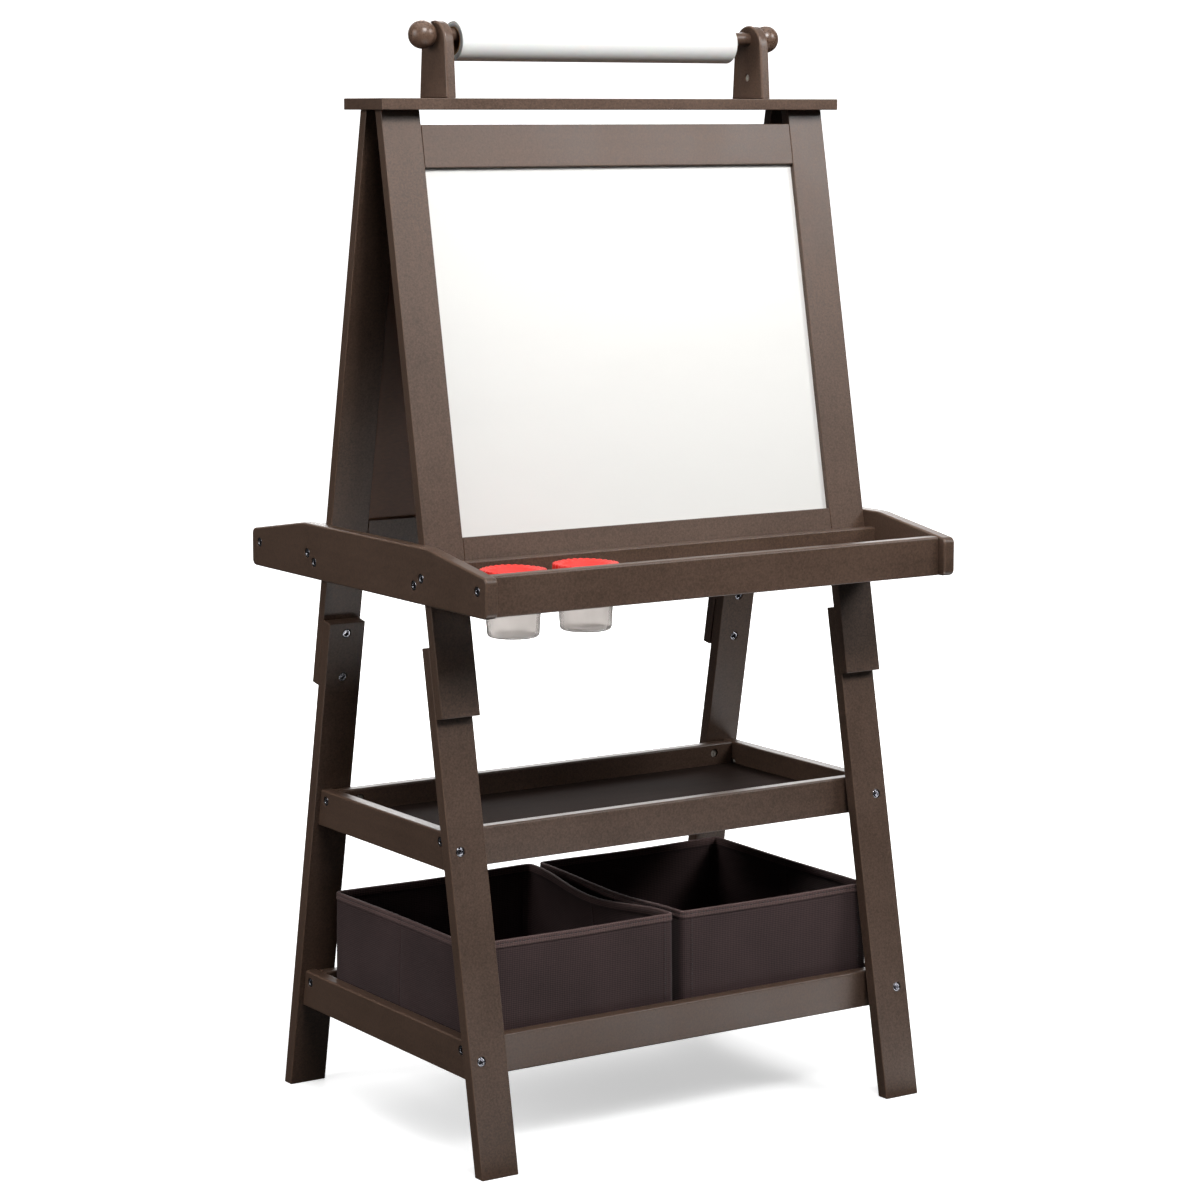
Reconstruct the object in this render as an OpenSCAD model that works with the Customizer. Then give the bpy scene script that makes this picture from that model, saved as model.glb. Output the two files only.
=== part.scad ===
// Double-sided kids easel: two boards in an A-frame over a tray, two shelves and two storage bins.
// Origin on the floor under the middle of the easel, +X to the right seen from the whiteboard side,
// -Y towards the whiteboard side, +Z up.

/* [A-frame] */
// Width across the outer edges of the posts
frame_w = 591; // [480:1:720]
// Height of the underside of the top board
head_z = 1132.5; // [950:0.5:1400]
// Lean of each side of the A-frame, in degrees
slant = 10.7; // [8:0.1:13]
// Distance from the middle to each outer face, at the underside of the top board
head_y = 22.4; // [20:0.1:40]
// Width of an upper post
post_w = 48; // [40:1:60]
// Thickness of an upper post and of the board rails
post_t = 13; // [12:0.5:18]
// Height of the lower end of an upper post
post_end_z = 486.5; // [440:0.5:500]

/* [Boards] */
// Gap between the top board and the top rails
rail_drop = 16; // [4:1:40]
// Height of a board rail, measured up the slope
board_rail_h = 47; // [36:1:60]
// Height of the lower edge of the drawing surface
sill_z = 675.3; // [665:0.1:740]
// Thickness of the whiteboard and the chalkboard
sheet_t = 3; // [2:0.5:4]
// Depth from the face of a post to the drawing surface
sheet_recess = 6.5; // [3:0.5:7]
// Depth of the grooves that hold the boards
sheet_groove = 6; // [4:0.5:7]

/* [Top board] */
// Overhang of the top board past each post
board_overhang = 9.5; // [4:0.5:40]
// Depth of the top board, front to back
board_d = 85; // [80:1:120]
// Thickness of the top board
board_t = 12.5; // [12:0.5:18]

/* [Paper roll] */
// Length of the paper roll
roll_l = 368; // [300:1:440]
// Outer diameter of the paper roll
roll_d = 44; // [36:1:60]
// Inner diameter of the cardboard core
core_d = 28.5; // [24:0.5:30]
// Wall of the cardboard core
core_wall = 1.5; // [1:0.25:3]
// Mean gap between the roll's ends and their holders
roll_gap = 21; // [3:0.5:30]
// Distance of the roll's middle left of the easel's middle
roll_push = 8; // [-20:0.5:20]
// Diameter of the rod
rod_d = 14.6; // [10:0.1:18]
// Height of the rod above the top board
rod_z = 69; // [55:1:72]
// Diameter of the ball knobs
knob_d = 31.5; // [24:0.5:36]
// Distance from the middle of a knob to its flat face
knob_flat = 13.2; // [10:0.1:14]
// Depth of the rod's hole in each knob
knob_bore = 12; // [8:0.5:18]
// Thickness of a roll holder
holder_t = 12; // [10:0.5:18]
// Depth of a roll holder at its foot
holder_d = 60.5; // [50:0.5:70]
// Height of a roll holder
holder_h = 84.5; // [80:0.5:100]
// Radius of a roll holder's round top
holder_r = 26; // [20:0.5:28]
// Play of the rod in the holders' holes, on the diameter
rod_play = 1.4; // [0.6:0.2:4]

/* [Tray] */
// Height of the tray's lower edge
tray_z = 609; // [590:1:640]
// Height of the tray's front and back rails
tray_rail_h = 44; // [40:1:60]
// Height of the middle of a side panel
tray_panel_h = 62; // [56:1:80]
// Thickness of a side panel
tray_panel_t = 15; // [12:0.5:18]
// Room between a divider and the outer rail
tray_pocket = 101.5; // [90:0.5:140]
// Thickness of a divider
divider_t = 12; // [11:0.5:18]
// Height of a divider
divider_h = 37; // [34:1:44]
// Length that a side panel runs past the outer rail
panel_nose = 11; // [6:1:20]
// Distance from the middle to where a side panel's top starts to slope
panel_knee = 137; // [110:1:150]
// Height of the tray floors above the tray's lower edge
tray_floor_up = 14; // [9:1:16]

/* [Cups] */
// Outer diameter of a cup under its flange
cup_d = 62; // [50:1:70]
// Outer diameter of a cup's foot
cup_foot_d = 56.5; // [44:0.5:60]
// Depth of a cup below the tray floor
cup_drop = 53.5; // [40:0.5:80]
// Height of a cup's neck above the tray floor
cup_neck_h = 16; // [12:0.5:18]
// Wall of a cup
cup_wall = 1.4; // [1:0.1:2]
// Wall of a cup's lid
lid_wall = 4.9; // [4.5:0.1:7]
// Diameter of the hole in a lid
lid_hole_d = 44; // [30:1:48]
// Distance from the left side panel to the middle of the first cup
cup_edge = 65.5; // [50:0.5:90]
// Distance between the cups
cup_pitch = 92; // [86:1:120]

/* [Legs and shelves] */
// Width of a leg
leg_w = 46; // [40:1:56]
// Thickness of a leg
leg_t = 15.5; // [12:0.1:20]
// Height of the upper end of a leg
leg_top_z = 563; // [550:1:580]
// Thickness of the tray and shelf rails
rail_t = 15; // [12:0.5:18]
// Height of a shelf rail
shelf_rail_h = 42.5; // [36:0.5:50]
// Height of the middle shelf's lower edge
middle_z = 319.5; // [300:0.5:330]
// Height of the lower shelf's lower edge
lower_z = 99; // [60:0.5:110]
// Distance from a leg's outer edge to a side rail
side_rail_in = 6.5; // [4:0.5:12]
// Distance from a leg to the front or back rail of a shelf
shelf_inset = 8; // [6:0.5:14]
// Thickness of the tray and shelf floors
floor_t = 6; // [3:0.5:8]
// Depth of the grooves that hold the floors
floor_groove = 5; // [3:0.5:6]
// Height of a shelf's floor above its lower edge
shelf_floor_up = 10.5; // [6:0.5:12]

/* [Bins] */
// Height of a fabric bin
bin_h = 124; // [90:1:150]
// Wall of a fabric bin
bin_wall = 3; // [2:0.5:5]
// Gap beside and in front of each bin on the shelf
bin_gap = 4; // [2:0.5:10]
// Gap behind each bin on the shelf
bin_back_gap = 16; // [2:1:30]
// Thickness of the loose base board in a bin
bin_base_t = 2; // [1.5:0.5:4]

/* [Fasteners] */
// Diameter of the frame bolts
bolt_d = 6; // [5:0.5:7]
// Diameter of a bolt's head
bolt_head_d = 10; // [9:0.5:11]
// Height of a bolt's head
bolt_head_h = 5; // [4:0.5:6]
// Depth of a bolt's head below the wood's surface
bolt_sink = 0.5; // [0:0.1:1]
// Length of a frame bolt in the piece that it pulls up
bolt_reach = 34; // [30:1:45]
// Diameter of a barrel nut
nut_d = 10; // [9:0.5:10]
// Length of a barrel nut
nut_l = 10; // [8:0.5:10]
// Diameter of the roll holders' bolts
holder_bolt_d = 5; // [4:0.5:6]
// Diameter of the roll holders' barrel nuts
holder_nut_d = 8; // [7:0.5:9]
// Height of the roll holders' barrel nuts above the top board
holder_nut_z = 24.5; // [18:0.5:30]

/* [Hidden] */

$fn = 48;
// Colours
paint = "#4f4239";
paint_dark = "#3b302a";
steel = "#c9cbcf";
fabric = "#3a2d31";
// Clearances: pieces that move apart, pieces glued or screwed together, and cuts past a face
gap = 0.3;
fit = 0.1;
cut = 1;

// A-frame: distance of the outer face from the middle at a height, and slope length down to it
function outer_y(z) = head_y + (head_z - z) * tan(slant);
function down(z) = (head_z - z) / cos(slant);
function leg_inner_y(z) = outer_y(z) - (post_t + leg_t) / cos(slant);
half_w = frame_w / 2;
opening = frame_w - 2 * post_w;
lap_t = post_t + leg_t;
top_rail_s = down(head_z - rail_drop);
sill_s = down(sill_z);
post_bolt_z = tray_z + 19;
post_bolt_y = outer_y(post_bolt_z) - post_t / 2 / cos(slant);
sheet_w = opening + 2 * (sheet_groove - gap);
sheet_top_s = top_rail_s + board_rail_h - sheet_groove + gap;
sheet_low_s = sill_s + sheet_groove - gap;

// Top board, holders, rod and roll
board_w = frame_w + 2 * board_overhang;
board_top = head_z + board_t;
holder_x = roll_l / 2 + roll_gap;
holder_out = holder_x + holder_t;
rod_axis_z = board_top + rod_z;
rod_end = holder_out + gap + knob_bore - cut;
roll_axis_z = rod_axis_z - (core_d - rod_d) / 2 + gap;
knob_x = holder_out + gap + knob_flat;

// Tray
divider_y = outer_y(tray_z + tray_rail_h - 1 - divider_h) + gap;
divider_z = tray_z + tray_rail_h - 1 - divider_h;
pocket_y = divider_y + divider_t;
tray_rail_y = pocket_y + tray_pocket;
panel_end = tray_rail_y + rail_t + panel_nose;
tray_bolt_z = tray_z + tray_rail_h - 16;
tray_floor_z = tray_z + tray_floor_up;
tray_floor_top = tray_floor_z + floor_t;

// Cups
cup_x = [-half_w + cup_edge, -half_w + cup_edge + cup_pitch];
cup_y = pocket_y + tray_pocket / 2;
cup_flange_d = cup_d + 7;
cup_flange_t = 2;
cup_hole_d = cup_d + 3;
cup_seat_z = tray_floor_top + gap;
lid_d = cup_d + 2 * (gap + lid_wall);

// Shelves
side_rail_x = half_w - side_rail_in - rail_t;
function shelf_y(z) = leg_inner_y(z + shelf_rail_h / 2) - shelf_inset - rail_t;
shelf_bolt_up = shelf_rail_h - 12;

// Bins
bin_z = lower_z + shelf_floor_up + floor_t + gap;
bin_w = side_rail_x - 1.5 * bin_gap;
bin_room = min(shelf_y(lower_z), leg_inner_y(bin_z + bin_h));
bin_d = 2 * bin_room - bin_gap - bin_back_gap;
bin_x = (bin_w + bin_gap) / 2;
bin_y = (bin_gap - bin_back_gap) / 2;

// Fasteners
shank_r = bolt_d / 2;
hole_r = shank_r + 0.2;
head_hole_r = bolt_head_d / 2 + 0.5;
nut_back = 8;
insert_d = bolt_d + 3;
insert_l = 9;
dowel_d = 8;
dowel_l = 30;
holder_dowel_d = 6;
holder_dowel_l = 16;
holder_dowel_y = 16;
lap_edge = 13;
holder_nut_l = holder_t - 2;
screw_d = 4.5;
screw_head_d = 9;
screw_head_h = 4;
screw_l = 32;

// ---------- helpers ----------

// Both sides, both ends, or all four corners
module both_sides() { children(); mirror([1, 0, 0]) children(); }
module both_ends() { children(); mirror([0, 1, 0]) children(); }

// Plane of the front posts: X across, Y into the wood from the outer face, Z up the slope
module on_slope() { translate([0, -head_y, head_z]) rotate([-slant, 0, 0]) children(); }

// Extrusion of a (Y, Z) outline along X
module across(x, w) { translate([x, 0, 0]) rotate([90, 0, 90]) linear_extrude(w) children(); }

// Box between two corners
module box(a, b) { translate(a) cube(b - a); }

// Cylinders along X and along Y
module rod_x(d, l) { rotate([0, 90, 0]) cylinder(d = d, h = l); }
module rod_y(d, l) { rotate([-90, 0, 0]) cylinder(d = d, h = l); }

// Outline with each corner rounded by its own radius
function unit(v) = v / norm(v);
function turn(a, b) = let(d = b - a) d > 180 ? d - 360 : d < -180 ? d + 360 : d;
function corner(p, u, v, r, steps = 8) =
    let(half = acos(u * v) / 2, c = p + unit(u + v) * r / sin(half), t = r / tan(half),
        s = p + u * t - c, e = p + v * t - c,
        a = atan2(s.y, s.x), da = turn(a, atan2(e.y, e.x)))
    [for (k = [0:steps]) c + r * [cos(a + da * k / steps), sin(a + da * k / steps)]];
function rounded(pts, radii) = let(n = len(pts)) [for (i = [0:n - 1])
    each corner(pts[i], unit(pts[(i + n - 1) % n] - pts[i]), unit(pts[(i + 1) % n] - pts[i]), radii[i])];

// ---------- fasteners: head's top at the origin, pointing along +X ----------

module bolt(l, d = bolt_d) {
    difference() {
        union() {
            rod_x(bolt_head_d, bolt_head_h);
            rod_x(d, l);
        }
        translate([-cut, 0, 0]) rotate([0, 90, 0]) cylinder(d = 5.8, h = cut + 3, $fn = 6);
    }
}

// Hole for a bolt: counterbore from outside the face, then a clearance hole
module bolt_hole(l, d = bolt_d) {
    translate([-bolt_sink - cut, 0, 0]) rod_x(2 * head_hole_r, bolt_sink + cut + bolt_head_h);
    rod_x(d + 0.4, l + 3);
}

// Barrel nut centred on the bolt's line, along +Y, with its cross hole along X
module nut(d = nut_d, l = nut_l, thread = bolt_d) {
    difference() {
        translate([0, -l / 2, 0]) rod_y(d, l);
        translate([-d, 0, 0]) rod_x(thread + 0.1, 2 * d);
    }
}

// Where each kind of bolt starts, on the front left; its neighbours are mirrored from it
module at_tray_bolts() both_sides() both_ends()
    for (p = [[tray_rail_y + rail_t / 2, tray_bolt_z], [divider_y + divider_t / 2, tray_bolt_z],
              [post_bolt_y, post_bolt_z]])
        translate([-half_w - tray_panel_t + bolt_sink, -p[0], p[1]]) children();
module at_shelf_bolts() both_sides() both_ends()
    for (z = [middle_z, lower_z])
        translate([-side_rail_x - rail_t + bolt_sink, -shelf_y(z) - rail_t / 2, z + shelf_bolt_up])
            children();
module at_leg_bolts() both_sides() both_ends() on_slope()
    for (z = [middle_z, lower_z])
        translate([-side_rail_x - rail_t / 2, post_t + bolt_sink,
                   lap_t * tan(slant) - down(z + shelf_rail_h / 2)])
            rotate([0, 0, 90]) children();
module at_lap_bolts() both_sides() both_ends() on_slope()
    for (s = [-down(leg_top_z) - lap_edge, -down(post_end_z) + lap_edge])
        translate([-half_w + leg_w / 2, lap_t - bolt_sink, s]) rotate([0, 0, -90]) children();
module at_holder_bolts() both_sides()
    translate([-holder_x - holder_t / 2, 0, head_z + bolt_sink]) rotate([0, -90, 0]) children();
module at_top_screws() both_sides() both_ends()
    translate([-half_w + post_w / 2, -outer_y(head_z - 10) + post_t / 2 / cos(slant), board_top]) children();

tray_bolt_l = tray_panel_t - bolt_sink + bolt_reach;
leg_bolt_l = leg_t - bolt_sink + bolt_reach;
shelf_bolt_l = rail_t - bolt_sink + bolt_reach;
lap_bolt_l = leg_t - bolt_sink + insert_l - 1;
holder_bolt_l = board_t - bolt_sink + holder_nut_z + holder_nut_d / 2 + 2;

module tray_bolt_holes() at_tray_bolts() bolt_hole(tray_bolt_l);
module shelf_bolt_holes() at_shelf_bolts() bolt_hole(shelf_bolt_l);
module leg_bolt_holes() at_leg_bolts() bolt_hole(leg_bolt_l);

// Barrel nuts, and the blind holes that they sit in, open on the inner faces
module at_tray_nuts(only_posts) both_sides() both_ends()
    if (only_posts)
        on_slope() translate([-half_w + bolt_reach - nut_back, post_t / 2,
            -down(post_bolt_z) + post_t / 2 * tan(slant)]) children();
    else for (y = [tray_rail_y + rail_t / 2, divider_y + divider_t / 2])
        translate([-half_w + bolt_reach - nut_back, -y, tray_bolt_z]) children();
module at_shelf_nuts() both_sides() both_ends()
    for (z = [middle_z, lower_z])
        translate([-side_rail_x + bolt_reach - nut_back, -shelf_y(z) - rail_t / 2, z + shelf_bolt_up])
            children();
module at_leg_nuts() both_sides() both_ends() on_slope()
    for (z = [middle_z, lower_z])
        translate([-side_rail_x - rail_t / 2, lap_t + bolt_reach - nut_back,
                   lap_t * tan(slant) - down(z + shelf_rail_h / 2)]) rotate([0, 0, -90]) children();
module nut_hole(l) translate([0, -nut_l / 2, 0]) rod_y(nut_d + 2 * fit, l);

// ---------- top board, holders, rod and roll ----------

module top_board() color(paint) difference() {
    box([-board_w / 2, -board_d / 2, head_z], [board_w / 2, board_d / 2, board_top]);
    at_holder_bolts() bolt_hole(holder_bolt_l, holder_bolt_d);
    at_top_screws() screw_hole();
    at_holder_dowels() holder_dowel_hole();
}

module at_holder_dowels() both_sides() both_ends()
    translate([-holder_x - holder_t / 2, -holder_dowel_y, board_top - holder_dowel_l / 2]) children();
module holder_dowel_hole()
    translate([0, 0, -fit]) cylinder(d = holder_dowel_d + 2 * fit, h = holder_dowel_l + 2 * fit);

// Holder outline: straight flanks from the foot to a round top
holder_c = holder_h - holder_r;
flank = acos(holder_r / norm([holder_d / 2, holder_c])) - atan2(holder_c, holder_d / 2);
holder_arc = [for (k = [0:24]) let(a = flank + (180 - 2 * flank) * k / 24)
    [holder_r * cos(a), holder_c + holder_r * sin(a)]];

module roll_holder() difference() {
    translate([0, 0, board_top]) across(-holder_out, holder_t)
        polygon(concat([[-holder_d / 2, 0], [holder_d / 2, 0]], holder_arc));
    translate([-holder_out - cut, 0, rod_axis_z]) rod_x(rod_d + rod_play, holder_t + 2 * cut);
    at_holder_bolts() bolt_hole(holder_bolt_l, holder_bolt_d);
    translate([-holder_out + (holder_t - holder_nut_l) / 2 - fit, 0, board_top + holder_nut_z])
        rod_x(holder_nut_d + 2 * fit, holder_t);
    at_holder_dowels() holder_dowel_hole();
}
module roll_holder_left() color(paint) roll_holder();
module roll_holder_right() color(paint) mirror([1, 0, 0]) roll_holder();

module rod() color(paint_dark) translate([-rod_end, 0, rod_axis_z]) rod_x(rod_d, 2 * rod_end);

module knob() difference() {
    translate([-knob_x, 0, rod_axis_z]) sphere(d = knob_d);
    box([-holder_out - gap, -knob_d, rod_axis_z - knob_d], [0, knob_d, rod_axis_z + knob_d]);
    translate([-holder_out - gap - knob_bore, 0, rod_axis_z]) rod_x(rod_d + fit, knob_bore + cut);
}
module knob_left() color(paint) knob();
module knob_right() color(paint) mirror([1, 0, 0]) knob();

module tube_x(outer, inner, l) difference() {
    translate([-l / 2, 0, 0]) rod_x(outer, l);
    translate([-l / 2 - cut, 0, 0]) rod_x(inner, l + 2 * cut);
}
module paper_roll() color("white")
    translate([-roll_push, 0, roll_axis_z]) tube_x(roll_d, core_d + 2 * core_wall + fit, roll_l);
module roll_core() color("#b79a72")
    translate([-roll_push, 0, roll_axis_z]) tube_x(core_d + 2 * core_wall, core_d, roll_l);

// ---------- A-frame: posts, board rails and boards ----------

// Left front post: top cut level under the top board, lower end square, grooved for the board
module post() difference() {
    on_slope() difference() {
        across(-half_w, post_w)
            polygon([[0, -down(post_end_z)], [post_t, -down(post_end_z)],
                     [post_t, post_t * tan(slant)], [0, 0]]);
        sheet_slot();
        board_dowel_holes();
    }
    tray_bolt_holes();
    at_tray_nuts(true) nut_hole(nut_l + cut + post_t);
    at_lap_bolts() rod_x(insert_d + 2 * fit, leg_t + insert_l);
    at_top_screws() screw_hole();
}
module front_post_left() color(paint) post();
module front_post_right() color(paint) mirror([1, 0, 0]) post();
module back_post_left() color(paint) mirror([0, 1, 0]) post();
module back_post_right() color(paint) mirror([0, 1, 0]) mirror([1, 0, 0]) post();

// Groove that the board sits in, on the slope
module sheet_slot() box(
    [-opening / 2 - sheet_groove, sheet_recess - fit / 2, -sheet_low_s - gap],
    [opening / 2 + sheet_groove, sheet_recess + sheet_t + fit / 2, -sheet_top_s + gap]);

// Rail between the posts; s is the slope distance to its upper edge
module board_rail(s) on_slope() difference() {
    box([-opening / 2, 0, -s - board_rail_h], [opening / 2, post_t, -s]);
    sheet_slot();
    board_dowel_holes();
}
module front_top_rail() color(paint) board_rail(top_rail_s);
module front_lower_rail() color(paint) board_rail(sill_s);
module back_top_rail() color(paint) mirror([0, 1, 0]) board_rail(top_rail_s);
module back_lower_rail() color(paint) mirror([0, 1, 0]) board_rail(sill_s);

module sheet() on_slope() box(
    [-sheet_w / 2, sheet_recess, -sheet_low_s], [sheet_w / 2, sheet_recess + sheet_t, -sheet_top_s]);
module whiteboard() color("#f6f6f4") sheet();
module chalkboard() color("#23302a") mirror([0, 1, 0]) sheet();

// Glued dowels between the board rails and the posts, two in each joint
module at_board_dowels() for (s = [top_rail_s, sill_s], part = [0.28, 0.72])
    both_sides() translate([-opening / 2, post_t / 2, -s - board_rail_h * part]) children();
module board_dowel_holes() at_board_dowels()
    translate([-dowel_l / 2 - fit, 0, 0]) rod_x(dowel_d + 2 * fit, dowel_l + 2 * fit);
module board_dowels() color("#c8a878") both_ends() on_slope() at_board_dowels()
    translate([-dowel_l / 2, 0, 0]) rod_x(dowel_d, dowel_l);

// ---------- tray ----------

// Side panel outline: flat foot, level middle, slopes down to rounded ends
panel_outline = rounded(
    [[-panel_end, tray_z], [panel_end, tray_z], [panel_end, tray_z + tray_rail_h - 1],
     [panel_knee, tray_z + tray_panel_h], [-panel_knee, tray_z + tray_panel_h],
     [-panel_end, tray_z + tray_rail_h - 1]],
    [7, 7, 7, 90, 90, 7]);
module tray_side() difference() {
    across(-half_w - tray_panel_t, tray_panel_t) polygon(panel_outline);
    tray_bolt_holes();
}
module tray_side_left() color(paint) tray_side();
module tray_side_right() color(paint) mirror([1, 0, 0]) tray_side();

module tray_floor_slot() both_ends() box(
    [-half_w, -tray_rail_y - floor_groove, tray_floor_z - fit],
    [half_w, -pocket_y + floor_groove, tray_floor_z + floor_t + fit]);

module tray_rail() difference() {
    box([-half_w, -tray_rail_y - rail_t, tray_z], [half_w, -tray_rail_y, tray_z + tray_rail_h]);
    tray_floor_slot();
    tray_bolt_holes();
    at_tray_nuts(false) nut_hole(nut_l + rail_t);
}
module tray_front_rail() color(paint) tray_rail();
module tray_back_rail() color(paint) mirror([0, 1, 0]) tray_rail();

module tray_divider() difference() {
    box([-half_w, -pocket_y, divider_z], [half_w, -divider_y, divider_z + divider_h]);
    tray_floor_slot();
    tray_bolt_holes();
    at_tray_nuts(false) nut_hole(nut_l + divider_t);
}
module tray_front_divider() color(paint) tray_divider();
module tray_back_divider() color(paint) mirror([0, 1, 0]) tray_divider();

module tray_floor() box(
    [-half_w + fit, -tray_rail_y - floor_groove + gap, tray_floor_z],
    [half_w - fit, -pocket_y + floor_groove - gap, tray_floor_top]);
module tray_front_floor() color(paint_dark) difference() {
    tray_floor();
    for (x = cup_x) translate([x, -cup_y, tray_floor_z - cut])
        cylinder(d = cup_hole_d, h = floor_t + 2 * cut);
}
module tray_back_floor() color(paint_dark) mirror([0, 1, 0]) tray_floor();

// ---------- cups: turned shapes with radius and height from the flange's underside ----------

module cup(x) translate([x, -cup_y, cup_seat_z]) rotate_extrude() {
    foot = cup_foot_d / 2;
    body = cup_d / 2;
    polygon(concat([[0, -cup_drop]],
        [for (k = [0:6]) [foot - 5 + 5 * sin(15 * k), -cup_drop + 5 - 5 * cos(15 * k)]],
        [[body, -1], [body + 1, 0], [cup_flange_d / 2, 0], [cup_flange_d / 2, cup_flange_t], [body, cup_flange_t],
         [body, cup_neck_h], [body - cup_wall, cup_neck_h], [body - cup_wall, -1],
         [foot - cup_wall, -cup_drop + 5 + cup_wall], [foot - 4, -cup_drop + cup_wall],
         [0, -cup_drop + cup_wall]]));
}
module cup_left() color([0.85, 0.85, 0.84, 0.6]) cup(cup_x[0]);
module cup_right() color([0.85, 0.85, 0.84, 0.6]) cup(cup_x[1]);

// Lid: skirt over the neck, rounded lip, and a funnel down to its hole
module cup_lid(x) translate([x, -cup_y, cup_seat_z]) rotate_extrude() {
    skirt = lid_d / 2;
    neck = cup_d / 2 + gap;
    hole = lid_hole_d / 2;
    top = cup_neck_h + 3.5;
    polygon(concat([[neck, cup_flange_t + gap], [skirt, cup_flange_t + gap]],
        [for (k = [0:6]) [skirt - 2 + 2 * cos(15 * k), top - 2 + 2 * sin(15 * k)]],
        [[neck - 2, top], [hole, top - 8], [hole, top - 9.5], [neck - 4, cup_neck_h - 0.5],
         [neck - 4, cup_neck_h + gap], [neck, cup_neck_h + gap]]));
}
module cup_lid_left() color("#e8453c") cup_lid(cup_x[0]);
module cup_lid_right() color("#e8453c") cup_lid(cup_x[1]);

// ---------- legs and shelves ----------

// Left front leg: lapped behind the post, upper end square, foot cut level with the floor
module leg() difference() {
    on_slope() across(-half_w, leg_w) polygon([
        [post_t, -down(0) + post_t * tan(slant)], [lap_t, -down(0) + lap_t * tan(slant)],
        [lap_t, -down(leg_top_z)], [post_t, -down(leg_top_z)]]);
    leg_bolt_holes();
    at_lap_bolts() bolt_hole(lap_bolt_l);
}
module front_leg_left() color(paint) leg();
module front_leg_right() color(paint) mirror([1, 0, 0]) leg();
module back_leg_left() color(paint) mirror([0, 1, 0]) leg();
module back_leg_right() color(paint) mirror([0, 1, 0]) mirror([1, 0, 0]) leg();

// Groove for a shelf's floor
module shelf_slot(z) box(
    [-side_rail_x - floor_groove, -shelf_y(z) - floor_groove, z + shelf_floor_up - fit],
    [side_rail_x + floor_groove, shelf_y(z) + floor_groove, z + shelf_floor_up + floor_t + fit]);

// Left side rail of the shelf at height z: ends cut to the lean of the legs
module shelf_side_rail(z) difference() {
    across(-side_rail_x - rail_t, rail_t) polygon([
        [-leg_inner_y(z), z], [leg_inner_y(z), z],
        [leg_inner_y(z + shelf_rail_h), z + shelf_rail_h],
        [-leg_inner_y(z + shelf_rail_h), z + shelf_rail_h]]);
    shelf_slot(z);
    shelf_bolt_holes();
    leg_bolt_holes();
    at_leg_nuts() nut_hole(nut_l + rail_t);
}
module shelf_front_rail(z) difference() {
    box([-side_rail_x, -shelf_y(z) - rail_t, z], [side_rail_x, -shelf_y(z), z + shelf_rail_h]);
    shelf_slot(z);
    shelf_bolt_holes();
    at_shelf_nuts() nut_hole(nut_l + rail_t);
}
// Floor with its edges notched, inside the grooves, round the leg bolts and their nuts
module shelf_floor(z) difference() {
    box([-side_rail_x - floor_groove + gap, -shelf_y(z) - floor_groove + gap, z + shelf_floor_up],
        [side_rail_x + floor_groove - gap, shelf_y(z) + floor_groove - gap, z + shelf_floor_up + floor_t]);
    leg_bolt_holes();
    at_leg_nuts() nut_hole(nut_l + fit);
}

module middle_side_rail_left() color(paint) shelf_side_rail(middle_z);
module middle_side_rail_right() color(paint) mirror([1, 0, 0]) shelf_side_rail(middle_z);
module middle_front_rail() color(paint) shelf_front_rail(middle_z);
module middle_back_rail() color(paint) mirror([0, 1, 0]) shelf_front_rail(middle_z);
module middle_floor() color(paint_dark) shelf_floor(middle_z);
module lower_side_rail_left() color(paint) shelf_side_rail(lower_z);
module lower_side_rail_right() color(paint) mirror([1, 0, 0]) shelf_side_rail(lower_z);
module lower_front_rail() color(paint) shelf_front_rail(lower_z);
module lower_back_rail() color(paint) mirror([0, 1, 0]) shelf_front_rail(lower_z);
module lower_floor() color(paint_dark) shelf_floor(lower_z);

// ---------- bins ----------

// Upright rounded block centred on X and Y
module block(w, d, h, r) linear_extrude(h)
    polygon(rounded([[-w / 2, -d / 2], [w / 2, -d / 2], [w / 2, d / 2], [-w / 2, d / 2]], [r, r, r, r]));

module bin(side) translate([side * bin_x, bin_y, bin_z]) difference() {
    block(bin_w, bin_d, bin_h, 8);
    translate([0, 0, bin_wall]) block(bin_w - 2 * bin_wall, bin_d - 2 * bin_wall, bin_h, 5);
}
module bin_base(side) translate([side * bin_x, bin_y, bin_z + bin_wall + fit])
    block(bin_w - 2 * bin_wall - 2, bin_d - 2 * bin_wall - 2, bin_base_t, 5);
module bin_left() color(fabric) bin(-1);
module bin_right() color(fabric) bin(1);
module bin_base_left() color(fabric) bin_base(-1);
module bin_base_right() color(fabric) bin_base(1);

// ---------- fasteners as nodes ----------

module tray_bolts() color(steel) at_tray_bolts() bolt(tray_bolt_l);
module shelf_bolts() color(steel) at_shelf_bolts() bolt(shelf_bolt_l);
module leg_bolts() color(steel) at_leg_bolts() bolt(leg_bolt_l);
module lap_bolts() color(steel) at_lap_bolts() bolt(lap_bolt_l);
module holder_bolts() color(steel) at_holder_bolts() bolt(holder_bolt_l, holder_bolt_d);

module barrel_nuts() color(steel) {
    at_tray_nuts(true) nut();
    at_tray_nuts(false) nut();
    at_shelf_nuts() nut();
    at_leg_nuts() nut();
}
module holder_nuts() color(steel) both_sides()
    translate([-holder_x - holder_t / 2, 0, board_top + holder_nut_z])
        rotate([0, 0, 90]) rotate([0, 90, 0]) nut(holder_nut_d, holder_nut_l, holder_bolt_d);

// Threaded inserts in the posts, behind the lap bolts
module post_inserts() color(steel) at_lap_bolts()
    translate([leg_t - bolt_sink + fit, 0, 0]) difference() {
        rod_x(insert_d, insert_l - fit);
        translate([-cut, 0, 0]) rod_x(bolt_d + fit, insert_l + 2 * cut);
    }

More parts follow.
